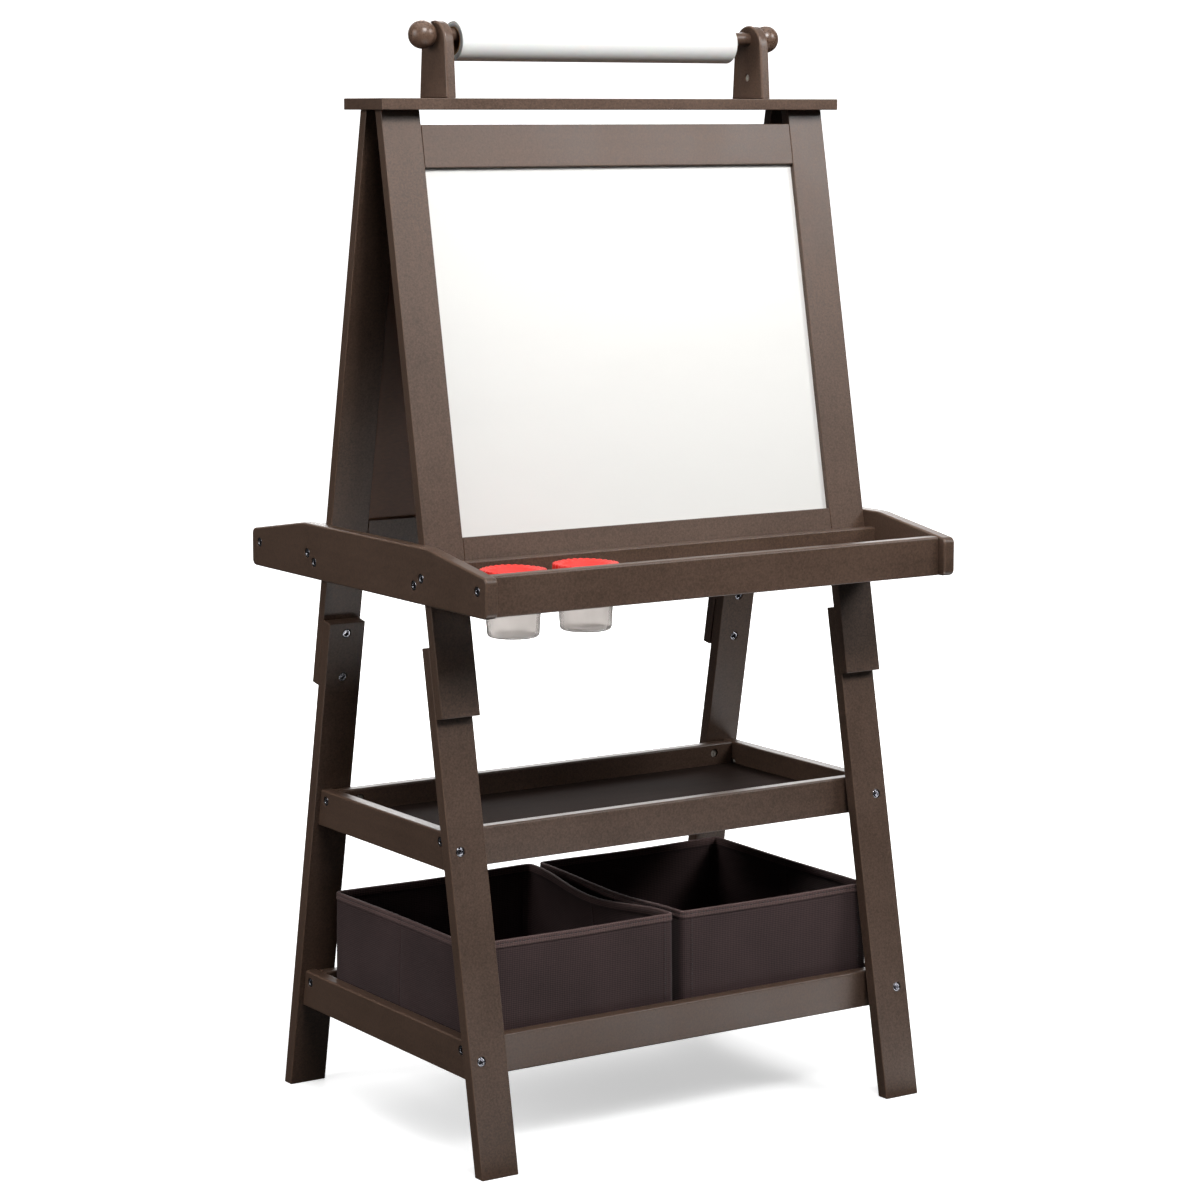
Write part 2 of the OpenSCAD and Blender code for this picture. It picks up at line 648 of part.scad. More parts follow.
// Countersunk screws down through the top board into the posts
module screw_shape(extra) {
    translate([0, 0, -screw_l]) cylinder(d = screw_d + extra, h = screw_l);
    translate([0, 0, -screw_head_h])
        cylinder(d1 = screw_d + extra, d2 = screw_head_d + extra, h = screw_head_h);
}
module screw_hole() {
    screw_shape(2 * fit);
    cylinder(d = screw_head_d + 2 * fit, h = cut);
}
module top_board_screws() color(steel) at_top_screws() difference() {
    screw_shape(0);
    for (a = [0, 90]) rotate([0, 0, a]) box([-2, -0.5, -2], [2, 0.5, cut]);
}
module holder_dowels() color("#c8a878") at_holder_dowels() cylinder(d = holder_dowel_d, h = holder_dowel_l);

top_board();
roll_holder_left();
roll_holder_right();
rod();
knob_left();
knob_right();
paper_roll();
roll_core();
front_post_left();
front_post_right();
back_post_left();
back_post_right();
front_top_rail();
front_lower_rail();
back_top_rail();
back_lower_rail();
whiteboard();
chalkboard();
tray_side_left();
tray_side_right();
tray_front_rail();
tray_back_rail();
tray_front_divider();
tray_back_divider();
tray_front_floor();
tray_back_floor();
cup_left();
cup_right();
cup_lid_left();
cup_lid_right();
front_leg_left();
front_leg_right();
back_leg_left();
back_leg_right();
middle_side_rail_left();
middle_side_rail_right();
middle_front_rail();
middle_back_rail();
middle_floor();
lower_side_rail_left();
lower_side_rail_right();
lower_front_rail();
lower_back_rail();
lower_floor();
bin_left();
bin_right();
bin_base_left();
bin_base_right();
tray_bolts();
lap_bolts();
leg_bolts();
shelf_bolts();
holder_bolts();
top_board_screws();
barrel_nuts();
holder_nuts();
post_inserts();
board_dowels();
holder_dowels();
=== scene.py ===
"""Kids easel: the visible surfaces and finishes of a double-sided easel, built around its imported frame.

Boards are prisms along X whose side outlines come from the frame's own nodes, with eased edges and bored
faces. Turned pieces are profiles carried round an axis. Bins are profiles carried round a rectangle.
"""

import math

import bpy
import numpy as np
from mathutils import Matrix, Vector, geometry


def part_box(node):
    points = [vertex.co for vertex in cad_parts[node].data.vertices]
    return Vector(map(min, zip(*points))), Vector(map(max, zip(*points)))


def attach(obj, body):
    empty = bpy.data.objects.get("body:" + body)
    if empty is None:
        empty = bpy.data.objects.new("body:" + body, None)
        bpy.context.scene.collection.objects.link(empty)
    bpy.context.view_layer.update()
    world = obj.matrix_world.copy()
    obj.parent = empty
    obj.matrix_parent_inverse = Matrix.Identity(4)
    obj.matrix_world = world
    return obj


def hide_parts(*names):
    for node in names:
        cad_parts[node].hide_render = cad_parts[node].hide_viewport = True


bl_info = {
    "name": "Kids Easel",
    "version": (1, 0, 0),
    "blender": (4, 5, 0),
    "location": "View3D > Sidebar > Easel",
    "description": "Surfaces, finishes and studio for a double-sided kids easel",
    "category": "Object",
}

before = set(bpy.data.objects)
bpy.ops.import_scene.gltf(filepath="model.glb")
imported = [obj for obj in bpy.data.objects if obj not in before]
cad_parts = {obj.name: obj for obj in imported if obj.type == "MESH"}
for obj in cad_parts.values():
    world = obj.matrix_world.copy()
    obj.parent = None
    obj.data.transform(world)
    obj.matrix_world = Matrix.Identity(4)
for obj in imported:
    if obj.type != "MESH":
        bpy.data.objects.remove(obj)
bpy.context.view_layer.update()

MM = 0.001
X, Y, Z = np.eye(3)
ARC_STEPS = 5
BORE_SIDES = 32
SHARP_ANGLE = math.radians(38)
ROUNDED_TURN = math.radians(25)
ON_A_LINE = 0.03 * MM
FLUSH = 0.3 * MM
CHAMFER = 0.3 * MM
HEAD_BORE, SCREW_BORE = 5.5 * MM, 4.6 * MM
NUT_BORES = (("barrel_nuts", 5.1 * MM), ("holder_nuts", 4.1 * MM))
ROD_HOLE, CUP_HOLE = 8.0 * MM, 32.5 * MM
ABOVE_TRAY = 0.6


def linear(red, green, blue):
    """Linear colour of an 8-bit display colour: ((c / 255 + 0.055) / 1.055) ^ 2.4 above the toe."""
    c = np.array([red, green, blue]) / 255
    return tuple(float(v) for v in np.where(c > 0.04045, ((c + 0.055) / 1.055) ** 2.4, c / 12.92))


# ---------- reading the frame ----------

def vertices(node):
    """Vertices of a CAD node as an (N, 3) array, in metres."""
    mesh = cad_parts[node].data
    co = np.empty(len(mesh.vertices) * 3, np.float32)
    mesh.vertices.foreach_get("co", co)
    return co.reshape(-1, 3).astype(float)


def corners(node):
    """Lowest and highest corner of a CAD node as arrays."""
    low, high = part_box(node)
    return np.array(low), np.array(high)


def solids(node):
    """Vertices of each separate solid of a CAD node. Vertices at one place share a label, and every
    triangle spreads the lowest label of its corners until none changes."""
    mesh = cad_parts[node].data
    co = vertices(node)
    loops = np.empty(len(mesh.loops), np.int32)
    mesh.loops.foreach_get("vertex_index", loops)
    same = np.unique(np.round(co, 6), axis=0, return_inverse=True)[1].ravel()
    triangles = same[loops.reshape(-1, 3)]
    label = np.arange(same.max() + 1)
    while True:
        lowest = np.repeat(label[triangles].min(axis=1), 3)
        spread = label.copy()
        np.minimum.at(spread, triangles.ravel(), lowest)
        if (spread == label).all():
            break
        label = spread
    owner = label[same]
    return [co[owner == k] for k in np.unique(owner)]


def lean_axes():
    """Outward normal and upward direction of the front post's face, from the node's hull."""
    yz = hull(vertices("front_post_left")[:, 1:])
    edge = np.roll(yz, -1, axis=0) - yz
    longest = edge[np.argmax(np.linalg.norm(edge, axis=1))]
    up = longest * np.sign(longest[1]) / np.linalg.norm(longest)
    return np.array([0, -up[1], up[0]]), np.array([0, up[0], up[1]])


def hull(points):
    """Corners of the convex hull of (N, 2) points, anticlockwise, without points on straight edges."""
    order = geometry.convex_hull_2d([Vector(p) for p in points])
    ring = points[order]
    after = np.roll(ring, -1, axis=0)
    if (ring[:, 0] * after[:, 1] - ring[:, 1] * after[:, 0]).sum() < 0:
        ring = ring[::-1]
    while True:
        before, after = np.roll(ring, 1, axis=0), np.roll(ring, -1, axis=0)
        chord = after - before
        off = np.abs(chord[:, 0] * (ring - before)[:, 1] - chord[:, 1] * (ring - before)[:, 0])
        off /= np.linalg.norm(chord, axis=1)
        if off.min() > ON_A_LINE:
            return ring
        ring = np.delete(ring, np.argmin(off), axis=0)


# ---------- meshes ----------

def grid_quads(rows, columns, first=0, wrap=True, closed=False):
    """Corner numbers of the quads of a grid of points; wrap joins the last column to the first, and
    closed the last row to the first."""
    r = np.arange(rows if closed else rows - 1)[:, None]
    c = np.arange(columns if wrap else columns - 1)[None, :]
    here, below = r * columns, (r + 1) % rows * columns
    beside = (c + 1) % columns
    return first + np.stack([here + c, here + beside, below + beside, below + c], -1).reshape(-1, 4)


def finished(name, points, faces, materials, body, nodes=(), parts=None):
    """The object of a piece: its mesh with smooth faces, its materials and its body."""
    mesh = bpy.data.meshes.new(name)
    mesh.from_pydata(points.tolist(), [], faces)
    mesh.polygons.foreach_set("use_smooth", np.ones(len(mesh.polygons), bool))
    for material in materials:
        mesh.materials.append(material)
    if parts is not None:
        mesh.polygons.foreach_set("material_index", np.asarray(parts, np.int32))
    piece = bpy.data.objects.new(name, mesh)
    bpy.context.scene.collection.objects.link(piece)
    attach(piece, body)
    if nodes:
        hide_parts(*nodes)
    return piece


class Skin:
    """A mesh with a normal at each face corner. A face whose own normal opposes its corners' normals is
    turned over, so that every face points outwards."""

    def __init__(self):
        self.points = np.empty((0, 3))
        self.faces, self.normals = [], []

    def add_points(self, co):
        """Adds points and returns their numbers in the shape of the grid."""
        flat = np.asarray(co, float).reshape(-1, 3)
        numbers = len(self.points) + np.arange(len(flat))
        self.points = np.concatenate([self.points, flat])
        return numbers.reshape(np.shape(co)[:-1])

    def add_faces(self, corner, normal):
        """Adds faces of K corners each; corner is (F, K) and normal is (F, K, 3)."""
        corner = np.array(corner)
        normal = np.array(np.broadcast_to(normal, corner.shape + (3,)))
        co = self.points[corner]
        own = np.cross(co, np.roll(co, -1, axis=1)).sum(axis=1)
        away = (own * normal.mean(axis=1)).sum(axis=1) < 0
        corner[away] = corner[away][:, ::-1]
        normal[away] = normal[away][:, ::-1]
        self.faces += corner.tolist()
        self.normals += normal.reshape(-1, 3).tolist()


def perpendicular(axis):
    """Two unit vectors square to an axis and to each other."""
    side = np.cross(axis, X if abs(axis[0]) < 0.9 else Y)
    side /= np.linalg.norm(side)
    return side, np.cross(axis, side)


def circle(centre, axis, radius):
    """Points round a circle, and their directions from its centre."""
    side, other = perpendicular(axis)
    a = np.arange(BORE_SIDES)[:, None] * 2 * math.pi / BORE_SIDES
    out = np.cos(a) * side + np.sin(a) * other
    return centre + radius * out, out


class Bore:
    """A round hole: its mouth's middle, the direction that it opens in, its radius and its depth. A depth
    of None goes through the board."""

    def __init__(self, centre, axis, radius, depth=None, recess=3.2 * MM):
        self.centre, self.axis = np.asarray(centre, float), np.asarray(axis, float)
        self.radius, self.depth, self.recess = radius, depth, recess

    def opens_in(self, polygon, normal):
        """Whether the hole's mouth lies inside a convex polygon, no more than its recess below it."""
        facing = normal @ self.axis
        if facing < 0.98 and not (self.depth is None and facing < -0.98):
            return False
        if self.depth is not None and not -FLUSH < (polygon[0] - self.centre) @ normal < self.recess:
            return False
        edge = np.roll(polygon, -1, axis=0) - polygon
        inward = np.cross(normal, edge)
        inward /= np.maximum(np.linalg.norm(inward, axis=1, keepdims=True), 1e-12)
        inside = ((self.centre - polygon) * inward).sum(axis=1)
        long = np.linalg.norm(edge, axis=1) > 1e-6
        return (inside[long] > self.radius).all() or (inside[long] < -self.radius).all()


def distinct(skin, loop):
    """A loop of point numbers without those that lie on the point before them."""
    co = skin.points[loop]
    return loop[np.linalg.norm(co - np.roll(co, 1, axis=0), axis=1) > 1e-7]


def bored_face(skin, loop, normal, bores, walls):
    """One flat face, cut round the bores that open in it. A bore is a chamfer, a straight wall and a flat
    floor; a through bore leaves its upper rim in walls for the face opposite."""
    polygon = skin.points[loop]
    mine = [b for b in bores if b.opens_in(polygon, normal)]
    if not mine:
        skin.add_faces([loop], normal)
        return
    rims = []
    for bore in mine:
        centre = bore.centre - ((bore.centre - polygon[0]) @ normal) * normal
        rim, out = circle(centre, bore.axis, bore.radius + CHAMFER)
        edge = circle(centre - CHAMFER * normal, bore.axis, bore.radius)[0]
        rings = skin.add_points(np.stack([rim, edge]))
        chamfer = (normal - out) / math.sqrt(2)
        quads = grid_quads(2, BORE_SIDES)
        skin.add_faces(rings.ravel()[quads], np.tile(chamfer, (2, 1))[quads])
        rims.append(rings[0])
        if bore.depth is None:
            if id(bore) in walls:
                both = np.stack([walls.pop(id(bore)), rings[1]])
                skin.add_faces(both.ravel()[quads], np.tile(-out, (2, 1))[quads])
            else:
                walls[id(bore)] = rings[1]
            continue
        floor = skin.add_points(circle(centre - bore.depth * normal, bore.axis, bore.radius)[0])
        both = np.stack([rings[1], floor])
        skin.add_faces(both.ravel()[quads], np.tile(-out, (2, 1))[quads])
        skin.add_faces([floor], normal)
    loops = [loop] + rims
    numbers = np.concatenate(loops)
    cut = geometry.tessellate_polygon([[Vector(p) for p in skin.points[ids]] for ids in loops])
    skin.add_faces(numbers[np.array(cut)], normal)


class Outline:
    """Side outline of a board in Y and Z. Each corner of the hull that turns by more than 25 degrees is an
    arc. At inset d a point is the corner - max(r, d) m + max(r - d, 0) n, with r its radius, n its normal,
    and m the corner's mean normal / cos(half its turn)."""

    def __init__(self, node, top, low):
        ring = hull(vertices(node)[:, 1:])
        edge = np.roll(ring, -1, axis=0) - ring
        angle = np.arctan2(-edge[:, 0], edge[:, 1])
        before = np.roll(angle, 1)
        turn = (angle - before) % (2 * math.pi)
        sharp = turn > ROUNDED_TURN
        middle = (ring[:, 1].min() + ring[:, 1].max()) / 2
        share = np.where(sharp[:, None], np.linspace(0, 1, ARC_STEPS), 0.5)
        keep = sharp[:, None] | (np.arange(ARC_STEPS) == 0)
        heading = (before[:, None] + turn[:, None] * share)[keep]
        self.normal = np.stack([np.cos(heading), np.sin(heading)], -1)
        owner = np.nonzero(keep)[0]
        mean = before + turn / 2
        mitre = np.stack([np.cos(mean), np.sin(mean)], -1) / np.cos(turn / 2)[:, None]
        self.corner, self.mitre = ring[owner], mitre[owner]
        self.radius = np.where(sharp, np.where(ring[:, 1] > middle, top, low), 0)[owner]

    def at(self, inset):
        """The outline moved in by each inset of an array: (insets, points, 2)."""
        d, r = np.asarray(inset)[:, None, None], self.radius[None, :, None]
        return self.corner - np.maximum(r, d) * self.mitre + np.maximum(r - d, 0) * self.normal


def board(node, materials, ease=0.8, top=1.0, low=1.0, bores=(), front=None,
          gap=0.0):
    """A board: its side outline carried along X. Towards each end the outline moves in by ease (1 - cos a)
    while X moves by ease (1 - sin a), a quarter round. With front, a direction, faces that look another
    way take the second material. Gap is a slit left at each end. Lengths are in millimetres."""
    ease, top, low = ease * MM, top * MM, low * MM
    outline = Outline(node, top, low)
    normal = outline.normal
    start, end = corners(node)[0][0] + gap * MM, corners(node)[1][0] - gap * MM
    a = np.linspace(math.pi / 2, 0, ARC_STEPS)
    rows = []
    for x, sign, angles in ((start, -1, a), (end, 1, a[::-1])):
        yz = outline.at(ease * (1 - np.cos(angles)))
        along = np.broadcast_to((x - sign * ease * (1 - np.sin(angles)))[:, None, None], yz.shape[:2] + (1,))
        tilt = np.broadcast_to((sign * np.sin(angles))[:, None, None], yz.shape[:2] + (1,))
        rows.append((np.concatenate([along, yz], -1),
                     np.concatenate([tilt, np.cos(angles)[:, None, None] * normal[None]], -1), angles))
    skin = Skin()
    columns = len(normal)
    places, walls = [], {}
    for co, tilted, angles in rows:
        ids = skin.add_points(co)
        places.append(ids)
        quads = grid_quads(ARC_STEPS, columns)
        skin.add_faces(ids.ravel()[quads], tilted.reshape(-1, 3)[quads])
    left, right = places[0][-1], places[1][0]
    beside = (np.arange(columns) + 1) % columns
    full = np.concatenate([np.zeros((columns, 1)), normal], -1)
    for j in range(columns):
        k = beside[j]
        loop = np.array([left[j], left[k], right[k], right[j]])
        if full[j] @ full[k] > 0.99999:
            bored_face(skin, loop, full[j], bores, walls)
        else:
            skin.add_faces([loop], full[[j, k, k, j]][None])
    bored_face(skin, distinct(skin, places[0][0]), -X, bores, walls)
    bored_face(skin, distinct(skin, places[1][-1]), X, bores, walls)
    parts = None
    if front is not None:
        first = np.cumsum([0] + [len(f) for f in skin.faces])[:-1]
        parts = (np.array(skin.normals)[first] @ front < 0.5).astype(int)
    piece = finished(node + "_eased", skin.points, skin.faces, materials, "frame", [node], parts)
    piece.data.normals_split_custom_set(skin.normals)
    # Edge mark, 1 midway round each eased edge: the paint lightens there as painted highlight and wear.
    highlight_and_wear = np.zeros(len(skin.points), np.float32)
    for ids, (_, _, angles) in zip(places, rows):
        highlight_and_wear[ids] = np.sin(2 * angles)[:, None]
    piece.data.attributes.new("edge_wear", "FLOAT", "POINT").data.foreach_set("value", highlight_and_wear)
    return piece


def closed_skin(grid, closed):
    """Points and faces of a surface whose rows are rings. Closed joins the last ring to the first; open
    ends are fanned to their middles. The faces are turned over if the signed volume is negative."""
    rows, columns = grid.shape[:2]
    points = grid.reshape(-1, 3)
    faces = grid_quads(rows, columns, closed=closed)
    triangles = np.empty((0, 3), int)
    if not closed:
        n = np.arange(columns)
        after = (n + 1) % columns
        points = np.concatenate([points, [grid[0].mean(axis=0), grid[-1].mean(axis=0)]])
        last = (rows - 1) * columns
        triangles = np.concatenate([
            np.stack([after, n, np.full(columns, rows * columns)], -1),
            np.stack([last + n, last + after, np.full(columns, rows * columns + 1)], -1)])
    split = np.concatenate([faces[:, [0, 1, 2]], faces[:, [0, 2, 3]], triangles])
    a, b, c = points[split[:, 0]], points[split[:, 1]], points[split[:, 2]]
    if (a * np.cross(b, c)).sum() < 0:
        faces, triangles = faces[:, ::-1], triangles[:, ::-1]
    return points, faces, triangles


def turned_grid(profile, columns, origin, axis, shape=None):
    """Rings of a turned piece: at angle a, (radius cos a, radius sin a, height) on the axis. Shape may
    change radius and height with the row and the angle."""
    radius, height = np.array(profile, float).T[:, :, None] * MM
    a = np.arange(columns)[None, :] * 2 * math.pi / columns
    radius, height = radius + 0 * a, height + 0 * a
    if shape is not None:
        radius, height = shape(radius, height, a)
    side, other = perpendicular(axis)
    return (np.asarray(origin) + (radius * np.cos(a))[..., None] * side
            + (radius * np.sin(a))[..., None] * other + height[..., None] * axis)


def surface(name, grids, materials, body, nodes=(), closed=False):
    """One piece made of the surfaces of several grids of rings."""
    points, faces, count = [], [], 0
    for grid in grids:
        p, quads, triangles = closed_skin(grid, closed)
        points.append(p)
        faces += (quads + count).tolist() + (triangles + count).tolist()
        count += len(p)
    piece = finished(name, np.concatenate(points), faces, materials, body, nodes)
    piece.data.set_sharp_from_angle(angle=SHARP_ANGLE)
    return piece


def arc(centre, radius, start, end, steps=6):
    """Points of an arc in a profile, angles in degrees, lengths in millimetres."""
    a = np.radians(np.linspace(start, end, steps))
    return np.stack([centre[0] + radius * np.cos(a), centre[1] + radius * np.sin(a)], -1).tolist()


# ---------- materials ----------

class Value:
    """A shader socket that Python sums can use: each operator adds one Math node."""

    def __init__(self, finish, socket):
        self.finish, self.socket = finish, socket

    def _math(self, operation, first, second):
        return self.finish.node("ShaderNodeMath", {"operation": operation}, {0: first, 1: second})

    def __add__(self, other):
        return self._math("ADD", self, other)

    def __sub__(self, other):
        return self._math("SUBTRACT", self, other)

    def __rsub__(self, other):
        return self._math("SUBTRACT", other, self)

    def __mul__(self, other):
        return self._math("MULTIPLY", self, other)

    def __truediv__(self, other):
        return self._math("DIVIDE", self, other)

    def __pow__(self, other):
        return self._math("POWER", self, other)

    def __gt__(self, other):
        return self._math("GREATER_THAN", self, other)

    __radd__, __rmul__ = __add__, __mul__

    def sine(self):
        return self._math("SINE", self, 0)

    def magnitude(self):
        return self._math("ABSOLUTE", self, 0)


class Finish:
    """A material on one Principled shader, and the nodes that vary it."""

    def __init__(self, name, **constants):
        self.material = bpy.data.materials.new(name)
        self.material.use_nodes = True
        self.tree = self.material.node_tree
        self.shader = self.tree.nodes["Principled BSDF"]
        for socket, value in constants.items():
            self.shader.inputs[socket.replace("_", " ").title().replace("Ior", "IOR")].default_value = value

    def node(self, kind, settings=None, inputs=None, output=0):
        """One node of a type: its settings first, a ramp's stops among them, then the values or links of
        its sockets. Returns the wanted output."""
        made = self.tree.nodes.new(kind)
        for name, value in (settings or {}).items():
            if name == "stops":
                ramp = made.color_ramp
                while len(ramp.elements) < len(value):
                    ramp.elements.new(0.5)
                for element, (place, colour) in zip(ramp.elements, value):
                    element.position, element.color = place, (*colour, 1)
            else:
                setattr(made, name, value)
        for key, value in (inputs or {}).items():
            if isinstance(value, Value):
                self.tree.links.new(value.socket, made.inputs[key])
            else:
                made.inputs[key].default_value = value
        return Value(self, made.outputs[output])

    def place(self, scale=(1, 1, 1), centre=(0, 0, 0)):
        """Object coordinates about a centre, stretched along each axis."""
        where = self.node("ShaderNodeTexCoord", output="Object")
        shifted = self.node("ShaderNodeVectorMath", {"operation": "SUBTRACT"}, {0: where, 1: centre})
        return self.node("ShaderNodeVectorMath", {"operation": "MULTIPLY"}, {0: shifted, 1: scale})

    def parts(self, vector):
        """The X, Y and Z of a vector."""
        split = self.tree.nodes.new("ShaderNodeSeparateXYZ")
        self.tree.links.new(vector.socket, split.inputs[0])
        return [Value(self, out) for out in split.outputs]

    def noise(self, vector, scale, detail=2.0, roughness=0.5):
        """Noise from 0 to 1, mostly between 0.3 and 0.7."""
        return self.node("ShaderNodeTexNoise", None, {"Vector": vector, "Scale": scale, "Detail": detail,
                                                      "Roughness": roughness})

    def mix(self, share, first, second):
        """A colour between two."""
        opaque = [c if isinstance(c, Value) else (*tuple(c)[:3], 1) for c in (first, second)]
        return self.node("ShaderNodeMix", {"data_type": "RGBA", "clamp_factor": True},
                         {0: share, 6: opaque[0], 7: opaque[1]}, 2)

    def shades(self, share, colour, dark, light):
        """A colour between a darker and a lighter tint of one colour."""
        return self.mix(share, tint(colour, dark), tint(colour, light))

    def link(self, socket, value):
        """Feeds one socket of the shader."""
        self.tree.links.new(value.socket, self.shader.inputs[socket])

    def coat(self, colour, rough, height, strength, depth):
        """The material, with its colour, its roughness, and a bump from a height between 0 and 1 whose full
        depth is in metres."""
        self.link("Base Color", colour)
        self.link("Roughness", rough)
        self.link("Normal", self.node("ShaderNodeBump", None, {"Height": height, "Strength": strength,
                                                               "Distance": depth}))
        return self.material


def tint(colour, factor):
    """A colour made lighter or darker."""
    return tuple(min(1.0, c * factor) for c in tuple(colour)[:3])


def paint(name, colour, stretch, sheen, gloss=0.4):
    """Satin paint over wood: clouds of tone, streaks along the board, a fine orange peel, and edges
    lightened as painted highlight and wear.
    """
    f = Finish(name, roughness=sheen, specular_ior_level=gloss)
    where = f.place()
    cloud, streak = f.noise(where, 11, 3), f.noise(f.place(stretch), 1, 3, 0.6)
    peel = f.noise(where, 440, 2, 0.7)
    tone = (cloud - 0.5) * 0.55 + (streak - 0.5) * 0.5 + (peel - 0.5) * 2.3 + 0.5
    # Eased edges mixed towards a lighter tint with noise: painted highlight together with wear.
    highlight_and_wear = f.node("ShaderNodeAttribute", {"attribute_name": "edge_wear"}, output="Fac")
    highlight_and_scuff = highlight_and_wear * (f.noise(where, 60, 3) * 0.8 + 0.1)
    return f.coat(f.mix(highlight_and_scuff, f.shades(tone, colour, 0.68, 1.36), tint(colour, 1.75)),
                  (cloud - 0.5) * 0.16 + (peel - 0.5) * 0.35 + sheen,
                  peel * 0.8 + streak * 0.2, 0.45, 0.00016)


def drawing_sheet(name, colour):
    """A drawing surface: nearly even colour with faint wiped dust in slanted sweeps."""
    f = Finish(name, roughness=0.3, specular_ior_level=0.22)
    sweep, speck = f.noise(f.place((3, 3, 9)), 1.6, 4, 0.55), f.noise(f.place(), 420, 2)
    share = (sweep - 0.42) * 1.8 * (0.6 + speck * 0.8)
    return f.coat(f.mix(share, colour, tint(colour, 0.96)), sweep * 0.16 + speck * 0.08 + 0.2,
                  speck, 0.15, 0.00004)


def chalk_sheet(name, colour):
    """Matt board paint with clouds of wiped chalk and a fine tooth."""
    f = Finish(name, roughness=0.85, specular_ior_level=0.3)
    wipe, tooth = f.noise(f.place((4, 4, 11)), 1.5, 5, 0.6), f.noise(f.place(), 700, 3, 0.7)
    share = (wipe - 0.4) * (0.35 + tooth * 0.4)
    return f.coat(f.mix(share, colour, tint(colour, 7)), tooth * 0.2 + 0.72, tooth, 0.4, 0.0001)


def hardboard(name, colour):
    """Pressed fibre board: flecks of fibre in two sizes, and a dull waxy face."""
    f = Finish(name, roughness=0.6)
    fibre, cloud = f.noise(f.place((140, 140, 420)), 1, 4, 0.7), f.noise(f.place(), 18, 3)
    return f.coat(f.shades(fibre * 0.8 + cloud * 0.4 - 0.1, colour, 0.55, 1.35), fibre * 0.25 + 0.45,
                  fibre, 0.4, 0.0002)


def bare_wood(name, colour):
    """Unpainted birch: long grain lines bent by slow noise."""
    f = Finish(name, roughness=0.6)
    grain = f.noise(f.place((25, 400, 400)), 1, 4, 0.6)
    return f.coat(f.shades(grain, colour, 0.6, 1.15), grain * 0.2 + 0.5, grain, 0.3, 0.0001)


def metal(name, colour, rough):
    """Plated steel with fine tool marks and small stains."""
    f = Finish(name, metallic=1.0, roughness=rough)
    mark, stain = f.noise(f.place(), 900, 2, 0.6), f.noise(f.place(), 120, 3)
    return f.coat(f.shades(stain * 0.7 + mark * 0.3, colour, 0.7, 1.2),
                  mark * 0.2 + stain * 0.12 + rough - 0.12, mark, 0.15, 0.00005)


def paper(name, colour, axis_point, half_length):
    """White drawing paper: soft mottling, and on the roll's ends the edges of its turns, darkened as painted
    shade.
    """
    f = Finish(name, roughness=0.75, specular_ior_level=0.25, subsurface_weight=0.1,
               subsurface_scale=0.002)
    x, y, z = f.parts(f.place(centre=axis_point))
    at_end = x.magnitude() > half_length - 0.0006
    turns = (((y * y + z * z) ** 0.5) * (2 * math.pi / 0.0011)).sine()
    fibre, wave = f.noise(f.place(), 320, 4, 0.65), f.noise(f.place((3, 30, 30)), 1, 2)
    # At the ends the paper is mixed towards a dark tint: painted shade, with the turns as faint rings.
    shade = at_end * (turns * 0.25 + 0.35) + fibre * 0.22 + wave * 0.12
    return f.coat(f.mix(shade, colour, f.shades(at_end, colour, 0.8, 0.3)), fibre * 0.2 + 0.62,
                  fibre * 0.5 + at_end * turns * 0.5, 0.25, 0.00015)


def cardboard(name, colour, pitch):
    """Kraft tube: fibres, and the seam of its wound strip every turn."""
    f = Finish(name, roughness=0.85)
    x, _, z = f.parts(f.place())
    fibre = f.noise(f.place((90, 300, 300)), 1, 4, 0.65)
    seam = (((x + z * 0.9) * (2 * math.pi / pitch)).sine()) ** 6
    return f.coat(f.shades(fibre * 0.7 + seam * 0.5, colour, 1.15, 0.55), fibre * 0.15 + 0.75,
                  fibre + seam * 0.3, 0.3, 0.00015)


def lid_plastic(name, colour):
    """Moulded red plastic, glossy with slow waves and small scratches."""
    f = Finish(name, roughness=0.3, specular_ior_level=0.5, subsurface_weight=0.15,
               subsurface_scale=0.003)
    cloud, scratch = f.noise(f.place(), 45, 3), f.noise(f.place((60, 900, 900)), 1, 3, 0.6)
    mark = cloud * 0.7 + scratch * 0.3
    return f.coat(f.shades(mark, colour, 0.86, 1.1), cloud * 0.2 + scratch * 0.15 + 0.16, mark, 0.2, 0.0003)


def cup_plastic(name, colour):
    """Milky clear plastic: light passes through, blurred, with flow lines from the gate in its foot."""
    f = Finish(name, roughness=0.15, transmission_weight=0.72, ior=1.35)
    flow, haze = f.noise(f.place((90, 90, 14)), 1, 3), f.noise(f.place(), 30, 2)
    return f.coat(f.shades(flow * 0.5 + haze * 0.5, colour, 0.9, 1.05), haze * 0.16 + flow * 0.1 + 0.06,
                  flow, 0.2, 0.0002)


def fabric(name, colour, pitch):
    """Non-woven cloth, pressed in a diagonal lattice of dots: (1 + sin u sin v) / 2 on the cloth's own
    map, and short random fibres."""
    f = Finish(name, roughness=0.9, specular_ior_level=0.2, sheen_weight=0.08, sheen_roughness=0.5)
    u, v, _ = f.parts(f.node("ShaderNodeUVMap", {"uv_map": "cloth"}))
    turn = math.pi / pitch
    dots = (((u + v) * turn).sine() * ((u - v) * turn).sine() + 1) * 0.5
    fibre, cloud = f.noise(f.place(), 520, 4, 0.75), f.noise(f.place(), 14, 3)
    tone = fibre * 0.5 + dots * 0.75 + (cloud - 0.5) * 0.5 - 0.12
    return f.coat(f.shades(tone, colour, 0.3, 1.95), fibre * 0.12 + 0.8, dots * 0.65 + fibre * 0.35,
                  0.5, 0.00035)


def thread(name, colour):
    """Sewing thread, twisted: fine slanted ridges."""
    f = Finish(name, roughness=0.7, sheen_weight=0.2)
    twist = f.noise(f.place((1500, 1500, 500)), 1, 2)
    return f.coat(f.shades(twist, colour, 0.7, 1.3), twist * 0.2 + 0.6, twist, 0.3, 0.0001)


